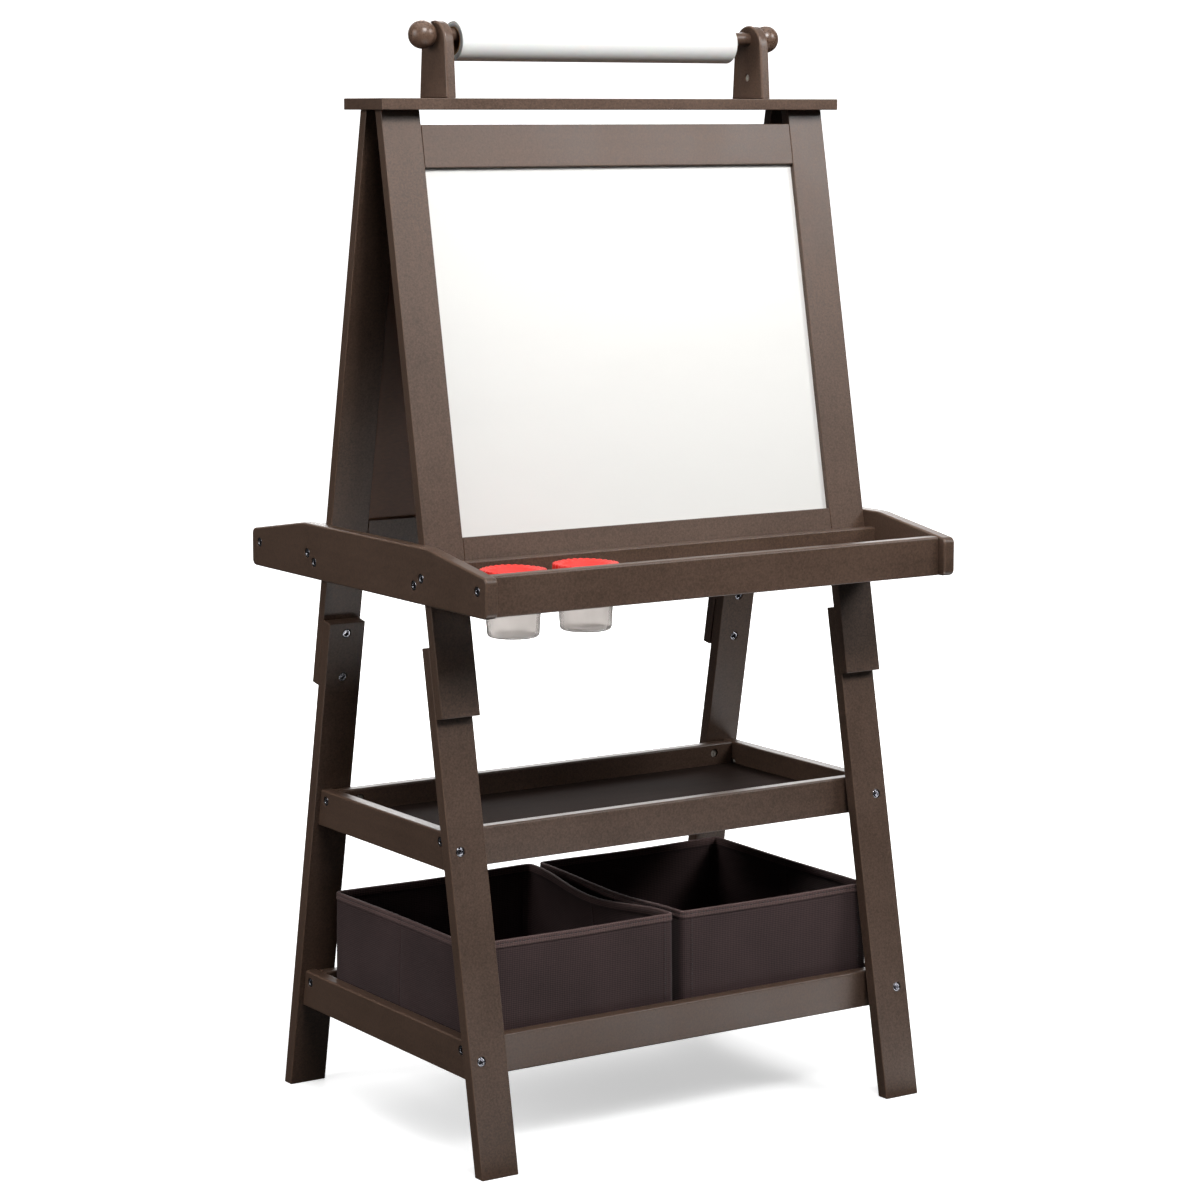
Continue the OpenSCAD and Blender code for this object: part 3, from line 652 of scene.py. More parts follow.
def floor_paint(name, colour):
    """Pale studio floor with barely visible mottling. It glows, more with the distance from the easel, so
    that shadows stay light and the floor ends in the white of the wall."""
    f = Finish(name, roughness=0.9, specular_ior_level=0.0, emission_strength=1.1)
    x, y, _ = f.parts(f.place())
    away = ((x * x + y * y) ** 0.5 - 0.5) / 2.2
    f.link("Emission Color", f.mix(away, (0.5, 0.5, 0.5), (1, 1, 1)))
    f.link("Base Color", f.mix(f.noise(f.place(), 1.5, 3), tint(colour, 0.995), colour))
    return f.material


def emitter(name, strength):
    """A glowing white backdrop."""
    return Finish(name, roughness=1.0, specular_ior_level=0.0, emission_color=(1, 1, 1, 1),
                  emission_strength=strength).material


# ---------- sizes and colours ----------

def millimetres(label, text, default):
    """A length property."""
    return bpy.props.FloatProperty(name=label, description=text, default=default, min=0.0, unit="LENGTH")


def colour_of(label, text, default):
    """A colour property."""
    return bpy.props.FloatVectorProperty(name=label, description=text, default=default, size=3, min=0.0,
                                         max=1.0, subtype="COLOR")


class EaselSizes(bpy.types.PropertyGroup):
    """Sizes of the details that finish the frame's pieces."""

    panel_ease: millimetres("Panel edges", "Rounding of the side panels' and holders' edges", 0.0026)
    rail_ease: millimetres("Rail edges", "Rounding of the rails' upper edges", 0.0028)
    leg_ease: millimetres("Leg edges", "Rounding of the legs' and posts' long edges", 0.0014)
    bore_depth: millimetres("Bolt bore", "Depth of the counterbores under the bolt heads", 0.0056)
    hem: millimetres("Hem", "Height of the bins' hem band", 0.0086)
    stitch: millimetres("Stitch", "Length of one stitch", 0.0034)
    stitch_pitch: millimetres("Stitch pitch", "Distance between stitches", 0.0056)
    sag: millimetres("Sag", "Dip of the bins' inner walls at mid length", 0.009)
    apart: millimetres("Gap", "How far the right bin's inner wall stands off the left bin", 0.005)
    dots: millimetres("Cloth dots", "Spacing of the pressed dots in the bins' cloth", 0.0022)


class EaselColours(bpy.types.PropertyGroup):
    """Colours of the finishes."""

    brown: colour_of("Paint", "Satin paint of the wood", linear(79, 61, 50))
    # Floor paint is darker than the wood's paint: painted shade for the tray and shelf floors.
    shade: colour_of("Floor paint", "Paint of the tray and shelf floors", linear(46, 36, 32))
    white: colour_of("Whiteboard", "Whiteboard surface", linear(212, 211, 208))
    chalk: colour_of("Chalkboard", "Chalkboard surface", linear(38, 42, 40))
    fibre: colour_of("Hardboard", "Back of the drawing boards", linear(112, 76, 54))
    roll: colour_of("Paper", "Paper of the roll", linear(222, 222, 220))
    core: colour_of("Core", "Cardboard core of the roll", linear(150, 118, 84))
    lid: colour_of("Lids", "Lids of the cups", linear(224, 50, 42))
    cup: colour_of("Cups", "Clear plastic of the cups", linear(246, 242, 239))
    cloth: colour_of("Bins", "Cloth of the bins", linear(54, 40, 40))
    hem: colour_of("Hem", "Hem band of the bins", linear(84, 66, 64))
    thread: colour_of("Thread", "Stitches of the bins", linear(24, 17, 18))
    steel: colour_of("Bolts", "Plating of the bolts", linear(150, 150, 156))
    nut: colour_of("Nuts", "Plating of the barrel nuts and inserts", linear(205, 200, 192))
    birch: colour_of("Wood", "Unpainted dowels", linear(196, 164, 120))


def sizes():
    """The scene's sizes."""
    return bpy.context.scene.easel_sizes


def colours():
    """The scene's colours."""
    return bpy.context.scene.easel_colours


finishes_made = {}


def finish(name):
    """The material of a name, made once, by its function from its colour and its other values."""
    c, level, upright = colours(), (3, 90, 90), (90, 90, 3)
    makers = {
        "paint_level": (paint, c.brown, level, 0.4),
        "paint_upright": (paint, c.brown, upright, 0.4),
        # The knobs' paint is the wood's brown lightened 1.3 times: a painted highlight, with a lower
        # roughness.
        "paint_ball": (paint, tint(c.brown, 1.3), upright, 0.32),
        "paint_deep": (paint, c.brown, (90, 3, 90), 0.4),
        # The floors' paint: its darker colour is painted shade, with low gloss.
        "paint_floor": (paint, c.shade, (4, 60, 60), 0.8, 0.03),
        "whiteboard": (drawing_sheet, c.white),
        "chalkboard": (chalk_sheet, c.chalk),
        "hardboard": (hardboard, c.fibre),
        "base_card": (hardboard, c.cloth),
        "birch": (bare_wood, c.birch),
        "chrome": (metal, c.steel, 0.16),
        "zinc": (metal, c.nut, 0.5),
        "cardboard": (cardboard, c.core, 0.08),
        "lid_plastic": (lid_plastic, c.lid),
        "cup_plastic": (cup_plastic, c.cup),
        "bin_cloth": (fabric, c.cloth, sizes().dots),
        "hem_cloth": (fabric, c.hem, sizes().dots),
        "thread": (thread, c.thread),
    }
    if name not in finishes_made:
        maker, *values = makers[name]
        finishes_made[name] = maker(name, *values)
    return finishes_made[name]


# ---------- bolts and nuts ----------

BOLT_NODES = ("tray_bolts", "shelf_bolts", "leg_bolts", "lap_bolts", "holder_bolts")


def bolt_axis(node, middle):
    """Direction in which a bolt's head looks, from its node and its place."""
    side = np.sign(middle)
    lean = lean_axes()[0] * (1, -side[1], 1)
    return {"tray_bolts": side[0] * X, "shelf_bolts": side[0] * X, "leg_bolts": lean,
            "lap_bolts": -lean, "holder_bolts": -Z}[node]


def bolt_places(node):
    """(middle of the head's top, axis, length) of each bolt of a node: the head's top is the part furthest
    along the axis, and its middle is the middle of that part's box in the two square directions."""
    places = []
    for co in solids(node):
        axis = bolt_axis(node, co.mean(axis=0))
        side, other = perpendicular(axis)
        along = co @ axis
        top = co[along > along.max() - 0.2 * MM]
        u, v = top @ side, top @ other
        middle = axis * along.max() + side * (u.min() + u.max()) / 2 + other * (v.min() + v.max()) / 2
        places.append((middle, axis, np.ptp(along)))
    return places


def nut_places(node):
    """(middle, direction that its hole opens in, half length) of each barrel nut. Nuts in the side rails
    and in the holders open towards the middle in X, nuts in the posts square to the slope, and the others
    towards the middle in Y."""
    side_rail = corners("middle_side_rail_left")[1][0]
    divider = corners("tray_front_divider")[1][1]
    places = []
    for co in solids(node):
        low, high = co.min(axis=0), co.max(axis=0)
        middle = (low + high) / 2
        side = np.sign(middle)
        if node == "holder_nuts" or abs(middle[0]) > abs(side_rail):
            axis = -side[0] * X
        elif middle[2] > ABOVE_TRAY and abs(middle[1]) < abs(divider):
            axis = -lean_axes()[0] * (1, -side[1], 1)
        else:
            axis = -side[1] * Y
        places.append((middle, axis, np.ptp(co @ axis) / 2))
    return places


def all_bores():
    """Counterbores for every bolt head, and the open ends of the barrel nuts' holes."""
    bores = [Bore(middle, axis, HEAD_BORE, sizes().bore_depth) for node in BOLT_NODES
             for middle, axis, _ in bolt_places(node)]
    for node, radius in NUT_BORES:
        bores += [Bore(middle + half * axis, axis, radius, 3.5 * MM, 2.8 * MM)
                  for middle, axis, half in nut_places(node)]
    bores += [Bore(co.max(axis=0) - np.ptp(co, axis=0) * (0.5, 0.5, 0), Z, SCREW_BORE, SCREW_BORE)
              for co in solids("top_board_screws")]
    return bores


def hexagon(first, last, flat):
    """A shape that makes rows first to last a hexagon: radius flat / cos(a folded into 60 degrees), in
    millimetres."""
    def shape(radius, height, a):
        folded = (a + math.pi / 6) % (math.pi / 3) - math.pi / 6
        rows = np.arange(len(radius))[:, None]
        inside = (rows >= first) & (rows <= last)
        return np.where(inside, flat * MM / np.cos(folded) + 0 * radius, radius), height
    return shape


def bolt_profile(length, head, shank):
    """Radius and height from the socket's floor over the rounded head to the shank's tip, in millimetres."""
    socket = [[2.5, -3.0], [2.55, -0.7], [2.9, -0.25], [3.25, 0]]
    under = [[head, -4.7], [head - 0.3, -5.0], [shank, -5.0], [shank, -length + 1], [shank - 1, -length]]
    return socket + arc((head - 0.9, -0.9), 0.9, 90, 0) + under


# ---------- bins ----------

class BinWall:
    """The shape of a bin: a rounded rectangle of cloth and card. A place on it is a distance round the
    rectangle and a height; offsets are inwards."""

    RADIUS = 8 * MM
    LEAN, CREASE, SEAM, RIPPLE = 1.2 * MM, 0.9 * MM, 0.5 * MM, 0.7 * MM
    CREASE_WIDTH, SEAM_WIDTH, SEAM_PLACE = 1.3 * MM, 0.9 * MM, 6 * MM

    def __init__(self, node):
        self.low, self.high = corners(node)
        self.low[0] += sizes().apart * (self.low[0] > 0)
        self.height = self.high[2] - self.low[2]
        self.side = np.sign(self.low[0] + self.high[0])
        size = self.high[:2] - self.low[:2]
        straight = size - 2 * self.RADIUS
        self.lengths = np.array([straight[0], straight[1], straight[0], straight[1]])
        self.bend = math.pi / 2 * self.RADIUS
        self.starts = np.concatenate([[0], np.cumsum(self.lengths + self.bend)])
        self.round = self.starts[-1]

    def place(self, s, z, inset):
        """Points at distance s round the wall, height z, and inset. Each side runs straight and then turns
        its corner. The wall between the bins hangs in and down by cos^2 along its length; the side walls
        are creased at mid length, all bulge a little at mid height, and all lean in towards the top."""
        s, z, inset = np.broadcast_arrays(s % self.round, z, inset)
        side = np.clip(np.searchsorted(self.starts, s, side="right") - 1, 0, 3)
        along = s - self.starts[side]
        length = self.lengths[side]
        turn = np.clip((along - length) / self.bend, 0, 1) * math.pi / 2
        heading = side * math.pi / 2 + turn
        tangent = np.stack([np.cos(side * math.pi / 2), np.sin(side * math.pi / 2)], -1)
        outward = np.stack([np.sin(side * math.pi / 2), -np.cos(side * math.pi / 2)], -1)
        middle = (self.low[:2] + self.high[:2]) / 2
        half = (self.high[:2] - self.low[:2]) / 2
        depth = np.where(side % 2 == 0, half[1], half[0]) - self.RADIUS
        normal = np.stack([np.sin(heading), -np.cos(heading)], -1)
        run = np.clip(along, 0, length) - length / 2
        centre = middle + tangent * run[..., None] + outward * depth[..., None]
        u = np.clip(2 * along / length - 1, -1, 1)
        level = z / self.height
        hang = np.cos(math.pi / 2 * u) ** 2
        inner = side == np.where(self.side < 0, 1, 3)
        outer = side == np.where(self.side < 0, 3, 1)
        shift = inner * hang * level ** 1.6 * sizes().sag * 1.1 + self.LEAN * level ** 2
        shift = shift + (side == 0) * (hang * (1.7 * level ** 2 - 1.0 * np.sin(math.pi * level)) * MM)
        shift = shift + (side == 2) * hang * level ** 1.5 * 1.6 * MM
        shift = shift + outer * hang * (1.8 * level ** 2 - 0.9 * np.sin(math.pi * level)) * MM
        crease = np.exp(-((run / self.CREASE_WIDTH) ** 2)) * (side % 2 == 1)
        shift = shift + crease * self.CREASE * np.clip(1.06 - level, 0, 1) ** 0.3
        from_seam = length / 2 - np.abs(run) - self.SEAM_PLACE
        seam = np.exp(-((from_seam / self.SEAM_WIDTH) ** 2)) * (side % 2 == 0)
        shift = shift - seam * self.SEAM
        ripple = np.sin(s * 61 + z * 47) * np.sin(z * 38 + side * 2.1) * np.sin(math.pi * level)
        shift = shift + self.RIPPLE * ripple * (1 - u ** 8)
        dip = inner * hang * level * sizes().sag + (side == 2) * hang * level * 0.8 * MM
        dip = dip + (side == 0) * hang * level * 1.2 * MM
        across = self.RADIUS - inset - shift
        flat = centre + normal * across[..., None]
        return np.concatenate([flat, (self.low[2] + z - dip)[..., None]], -1), normal

    def columns(self):
        """Distances round the wall: closer together at the crease, the seams and the corners."""
        steps = []
        for start, length in zip(self.starts, self.lengths):
            plain = np.linspace(0, length, 25)[:-1]
            crease = length / 2 + np.array([-3, -1.7, -0.9, 0.9, 1.7, 3]) * MM
            seam = np.array([4.2, 5.3, 6, 6.7, 7.8]) * MM
            corner = length + np.linspace(0, self.bend, 7)[:-1]
            steps.append(start + np.concatenate([plain, crease, seam, length - seam, corner]))
        return np.unique(np.round(np.concatenate(steps), 7))

    def profile(self):
        """(inset, height, part) from the bottom's outside up over the hem to the bottom's inside."""
        top, hem, wall = self.height / MM, sizes().hem / MM, 3.0
        outside = [(7.4, 0, 0), (3, 0, 0), (1.2, 0.3, 0), (0.3, 1.3, 0), (0, 3, 0)]
        outside += [(0, z, 0) for z in np.linspace(8, top - hem - 3, 12)]
        band = [(0.1, top - hem - 1.3, 0), (1.1, top - hem - 0.5, 0), (-0.4, top - hem - 0.1, 1),
                (-0.85, top - hem + 0.7, 1), (-0.85, top - 4.9, 1), (-0.3, top - 4.1, 1),
                (-0.3, top - 3.3, 1), (-0.85, top - 2.5, 1), (-0.75, top - 1.2, 1),
                (-0.2, top - 0.3, 1), (0.7, top, 1)]
        return outside + band + [(wall - 1.0, top, 1), (wall + 0.3, top - 0.5, 1),
                                 (wall + 0.7, top - 1.6, 1), (wall + 0.7, top - hem, 1),
                                 (wall, top - hem - 0.8, 0)] \
            + [(wall, z, 0) for z in np.linspace(top - hem - 6, 8, 9)] \
            + [(wall + 0.6, 4.2, 0), (wall + 2, wall, 0), (7.4, wall, 0)]

    def shell(self, node):
        """The bin's cloth, in one closed skin whose map is the distances round and along it."""
        s = self.columns()
        inset, z, part = np.array(self.profile()).T
        grid = self.place(s[None, :], z[:, None] * MM, inset[:, None] * MM)[0]
        points, quads, triangles = closed_skin(grid, False)
        faces = quads.tolist() + triangles.tolist()
        parts = np.concatenate([np.repeat(part[1:], len(s)), np.zeros(len(triangles))])
        piece = finished(node + "_cloth", points, faces, [finish("bin_cloth"), finish("hem_cloth")], node,
                         [node], parts)
        along = np.concatenate([[0], np.cumsum(np.hypot(np.diff(inset), np.diff(z)))]) * MM
        row, column = np.divmod(np.arange(len(points)), len(s))
        row = np.minimum(row, len(z) - 1)
        where = np.stack([s[column], along[row]], -1)
        loops = np.empty(len(piece.data.loops), np.int32)
        piece.data.loops.foreach_get("vertex_index", loops)
        cloth = where[loops]
        starts = np.empty(len(piece.data.polygons), np.int32)
        piece.data.polygons.foreach_get("loop_start", starts)
        face_of = np.searchsorted(starts, np.arange(len(loops)), side="right") - 1
        widest = np.maximum.reduceat(cloth[:, 0], starts)[face_of]
        cloth[:, 0] += np.where(widest - cloth[:, 0] > self.round / 2, self.round, 0)
        piece.data.uv_layers.new(name="cloth").data.foreach_set("uv", cloth.ravel().astype(np.float32))
        piece.data.set_sharp_from_angle(angle=math.radians(60))
        return piece

    def stitches(self, node):
        """Rows of stitches along the hem and up the seams, each a slim ellipsoid sunk into its row's
        groove: half length along the row, half width across it, half height off the cloth."""
        size, pitch = sizes().stitch / 2, sizes().stitch_pitch
        hem_z = self.height - 3.7 * MM
        count = int(self.round / pitch)
        s = np.arange(count) * self.round / count
        rows = [(s, np.full(count, hem_z), 0.5 * MM, False)]
        heights = np.arange(6 * MM, self.height - sizes().hem - 2 * MM, pitch)
        for side in (0, 2):
            for end in (self.SEAM_PLACE, self.lengths[side] - self.SEAM_PLACE):
                rows.append((np.full(len(heights), self.starts[side] + end), heights, 0.35 * MM, True))
        grids = []
        for s, z, lift, upright in rows:
            place, normal = self.place(s, z, -lift)
            step = (0, 0.1 * MM) if upright else (0.1 * MM, 0)
            ahead = self.place(s + step[0], z + step[1], -lift)[0] - place
            ahead /= np.linalg.norm(ahead, axis=1, keepdims=True)
            out = np.concatenate([normal, np.zeros((len(normal), 1))], -1)
            across = np.cross(out, ahead)
            t = np.linspace(-1, 1, 5)[:, None]
            a = np.arange(6)[None, :] * math.pi / 3
            slim = np.sqrt(1.02 - t ** 2) * 0.45 * MM
            place, ahead, across, out = (v[:, None, None] for v in (place, ahead, across, out))
            grids += list(place + (t + 0 * a)[..., None] * size * ahead
                          + (slim * np.cos(a))[..., None] * across * 1.2
                          + (slim * np.sin(a))[..., None] * out)
        return surface(node + "_stitches", grids, [finish("thread")], node)


# ---------- operators ----------

def stage_piece(name, profile, span, material, reflected):
    """A piece of the studio: a profile of radius and height in millimetres, turned about Z between two
    angles in degrees. It throws no light on the easel, and shows in its gloss only if reflected."""
    a = np.radians(np.linspace(*span, 97))
    radius, height = (np.array(profile, float) * MM).T[:, :, None]
    grid = np.stack([radius * np.cos(a), radius * np.sin(a), height + 0 * a], -1)
    mesh = bpy.data.meshes.new(name)
    mesh.from_pydata(grid.reshape(-1, 3).tolist(), [],
                     grid_quads(len(profile), len(a), wrap=False).tolist())
    mesh.materials.append(material)
    piece = bpy.data.objects.new(name, mesh)
    piece.visible_diffuse, piece.visible_glossy = False, reflected
    bpy.context.scene.collection.objects.link(piece)
    return piece


class EASEL_OT_stage(bpy.types.Operator):
    """Make the camera, the pale studio and its soft lights"""

    bl_idname = "easel.stage"
    bl_label = "Studio"
    bl_options = {"REGISTER", "UNDO"}

    def execute(self, context):
        scene = context.scene
        data = bpy.data.cameras.new("camera")
        data.lens, data.sensor_width, data.shift_y = 100.575, 36.0, -0.08333
        data.clip_end = 60.0
        camera = bpy.data.objects.new("camera", data)
        camera.location = (-2.09155, -3.18012, 1.1298)
        camera.rotation_euler = (math.radians(83.403), 0.0, math.radians(-33.346))
        scene.collection.objects.link(camera)
        scene.camera = camera
        scene.view_settings.view_transform = "Standard"

        pale = floor_paint("studio_pale", linear(240, 240, 240))
        white = emitter("studio_white", 1.1)
        curve = [[6000, 0]] + arc((6000, 2500), 2500, -75, 0, 10) + [[8500, 7000]]
        stage_piece("floor_near", [[r, 0] for r in (0, 300, 600, 900, 1200)], (0, 360), pale, False)
        stage_piece("floor_far", [[r, 0] for r in (1200, 2400, 3600, 4800, 6000)], (0, 360), pale, False)
        stage_piece("studio_wall", curve, (0, 360), white, False)
        stage_piece("studio_backdrop", [[8300, 300], [8300, 6500]], (25, 95),
                    emitter("backdrop_white", 2.0), True)
        card = stage_piece("reflector", [[420, 4], [950, 4]], (-140, -20), emitter("card_white", 3.0), True)
        card.visible_camera = card.visible_shadow = card.visible_transmission = False

        world = bpy.data.worlds.new("studio_air")
        world.use_nodes = True
        air = world.node_tree.nodes["Background"].inputs
        air["Color"].default_value, air["Strength"].default_value = (1, 1, 1, 1), 0.05
        scene.world = world
        lamps = (("key", (-0.7, -2.2, 2.8), (0, 0, 0.75), 1.2, 35.0, 180),
                 ("high", (-0.3, -1.9, 2.6), (0.05, 0, 1.25), 0.7, 5.0, 50),
                 ("gloss", (2.05, -2.3, 2.45), (0.15, 0, 1.1), 1.1, 14.0, 90),
                 ("left", (-3.2, 0.1, 1.7), (0, 0, 0.7), 1.5, 48.0, 180),
                 ("back", (1.8, 2.9, 2.6), (0, 0, 0.8), 1.6, 50.0, 180))
        for name, place, target, size, power, spread in lamps:
            lamp = bpy.data.lights.new(name, "AREA")
            lamp.size, lamp.energy, lamp.spread = size, power, math.radians(spread)
            light = bpy.data.objects.new(name, lamp)
            light.location = place
            light.rotation_euler = (Vector(target) - Vector(place)).to_track_quat("-Z", "Y").to_euler()
            scene.collection.objects.link(light)
        sun = bpy.data.lights.new("sky", "SUN")
        sun.energy, sun.angle = 1.5, math.radians(80)
        light = bpy.data.objects.new("sky", sun)
        scene.collection.objects.link(light)
        return {"FINISHED"}


class EASEL_OT_top(bpy.types.Operator):
    """Make the top board and the two roll holders"""

    bl_idname = "easel.top"
    bl_label = "Top board and holders"
    bl_options = {"REGISTER", "UNDO"}

    def execute(self, context):
        bores = all_bores()
        board("top_board", [finish("paint_level")], 1.0, 1.0, 1.0, bores)
        rod = corners("rod")
        axis = (0, (rod[0][1] + rod[1][1]) / 2, (rod[0][2] + rod[1][2]) / 2)
        for side in ("left", "right"):
            hole = Bore(axis, X, ROD_HOLE)
            board("roll_holder_" + side, [finish("paint_upright")], sizes().panel_ease / MM, 0.4, 0.4,
                  bores + [hole])
        return {"FINISHED"}


class EASEL_OT_rod(bpy.types.Operator):
    """Make the rod and its two ball knobs"""

    bl_idname = "easel.rod"
    bl_label = "Rod and knobs"
    bl_options = {"REGISTER", "UNDO"}

    def execute(self, context):
        low, high = corners("rod")
        middle = (low + high) / 2
        half, radius = (high[0] - low[0]) / 2 / MM, (high[2] - low[2]) / 2 / MM
        profile = [[0.4, -half], [radius - 0.8, -half], [radius, -half + 0.8]]
        profile += [[radius, x] for x in np.linspace(-half + 5, half - 5, 9)]
        profile += [[radius, half - 0.8], [radius - 0.8, half], [0.4, half]]
        surface("rod_dowel", [turned_grid(profile, 40, middle, X)], [finish("paint_level")], "rod",
                ["rod"])
        for side, sign in (("left", -1), ("right", 1)):
            low, high = corners("knob_" + side)
            ball = (high[2] - low[2]) / 2
            face = high[0] if sign < 0 else low[0]
            outer = low[0] if sign < 0 else high[0]
            centre = np.array([outer - sign * ball, (low[1] + high[1]) / 2, (low[2] + high[2]) / 2])
            ball, flat = ball / MM, abs(face - centre[0]) / MM
            end = math.degrees(math.acos(-(flat - 0.35) / ball))
            a = np.radians(np.linspace(2, end, 30))
            profile = np.stack([ball * np.sin(a), ball * np.cos(a)], -1).tolist()
            edge = profile[-1][0]
            profile += [[edge - 0.25, -flat], [edge - 2.5, -flat], [0.5, -flat]]
            surface("knob_" + side + "_ball", [turned_grid(profile, 56, centre, sign * X)],
                    [finish("paint_ball")], "rod" if side == "left" else "knob_right",
                    ["knob_" + side])
        return {"FINISHED"}


class EASEL_OT_roll(bpy.types.Operator):
    """Make the paper roll and its cardboard core"""

    bl_idname = "easel.roll"
    bl_label = "Paper roll"
    bl_options = {"REGISTER", "UNDO"}

    def execute(self, context):
        low, high = corners("paper_roll")
        middle = (low + high) / 2
        half, outer = (high[0] - low[0]) / 2 / MM, (high[2] - low[2]) / 2 / MM
        core_low, core_high = corners("roll_core")
        core = (core_high[2] - core_low[2]) / 2 / MM
        bore = core - 1.5
        white = paper("paper", colours().roll, tuple(middle), half * MM)

        def spiral(radius, height, a):
            loose = np.where(radius > (outer - 1.5) * MM, 0.4 * MM, 0)
            return radius - loose * (a / (2 * math.pi)), height

        edge = [[outer - 0.5, -half], [outer - 0.12, -half + 0.15], [outer, -half + 0.6]]
        outside = edge + [[outer, x] for x in np.linspace(-half + 8, half - 8, 24)]
        outside += [[r, -x] for r, x in edge[::-1]]
        rings = [[r, half] for r in (outer - 2.2, core + 1.2)] + [[core + 0.1, half - 0.2]]
        inside = [[core + 0.1, x] for x in np.linspace(half - 8, -half + 8, 8)]
        ends = [[r, -x] for r, x in rings[::-1]]
        surface("paper_wound", [turned_grid(outside + rings + inside + ends, 120, middle, X, spiral)],
                [white], "paper_roll", ["paper_roll"], closed=True)
        tube = [[core, x] for x in (-half + 0.2, -half / 2, half / 2, half - 0.2)]
        tube += [[core - 0.2, half], [bore + 0.2, half]]
        tube += [[bore, x] for x in (half - 0.2, half / 2, -half / 2, -half + 0.2)]
        tube += [[bore + 0.2, -half], [core - 0.2, -half]]
        surface("core_tube", [turned_grid(tube, 72, middle, X)], [finish("cardboard")], "paper_roll",
                ["roll_core"], closed=True)
        return {"FINISHED"}


class EASEL_OT_posts(bpy.types.Operator):
    """Make the four posts and the four board rails between them"""

    bl_idname = "easel.posts"
    bl_label = "Posts and board rails"
    bl_options = {"REGISTER", "UNDO"}

    def execute(self, context):
        bores = all_bores()
        for end in ("front", "back"):
            for side in ("left", "right"):
                board(f"{end}_post_{side}", [finish("paint_upright")], 0.9, 1.0, 1.0, bores)
            for level in ("top", "lower"):
                board(f"{end}_{level}_rail", [finish("paint_level")], 0.7, 1.0, 1.0, gap=0.35)
        return {"FINISHED"}


class EASEL_OT_sheets(bpy.types.Operator):
    """Make the whiteboard and the chalkboard, each with a bare hardboard back"""

    bl_idname = "easel.sheets"
    bl_label = "Drawing boards"
    bl_options = {"REGISTER", "UNDO"}

    def execute(self, context):
        out = lean_axes()[0]
        for node, facing in (("whiteboard", out), ("chalkboard", out * (1, -1, 1))):
            board(node, [finish(node), finish("hardboard")], 0.2, 0.3, 0.3, (), facing)
        return {"FINISHED"}


class EASEL_OT_tray(bpy.types.Operator):
    """Make the tray: side panels, rails, dividers and floors"""

    bl_idname = "easel.tray"
    bl_label = "Tray"
    bl_options = {"REGISTER", "UNDO"}

    def execute(self, context):
        bores = all_bores()
        rail = sizes().rail_ease / MM
        for side in ("left", "right"):
            board("tray_side_" + side, [finish("paint_deep")], sizes().panel_ease / MM, 1, 1, bores)
        cups = [(corners("cup_" + side)[0] + corners("cup_" + side)[1]) / 2 for side in ("left", "right")]
        holes = [Bore(cup, Z, CUP_HOLE) for cup in cups]
        for end in ("front", "back"):
            board(f"tray_{end}_rail", [finish("paint_level")], 0.5, rail, 1.6, bores, gap=0.3)
            board(f"tray_{end}_divider", [finish("paint_level")], 0.3, 1.8, 1.2, bores)
            board(f"tray_{end}_floor", [finish("paint_floor")], 0.2, 0.3, 0.3,
                  holes if end == "front" else ())
        return {"FINISHED"}


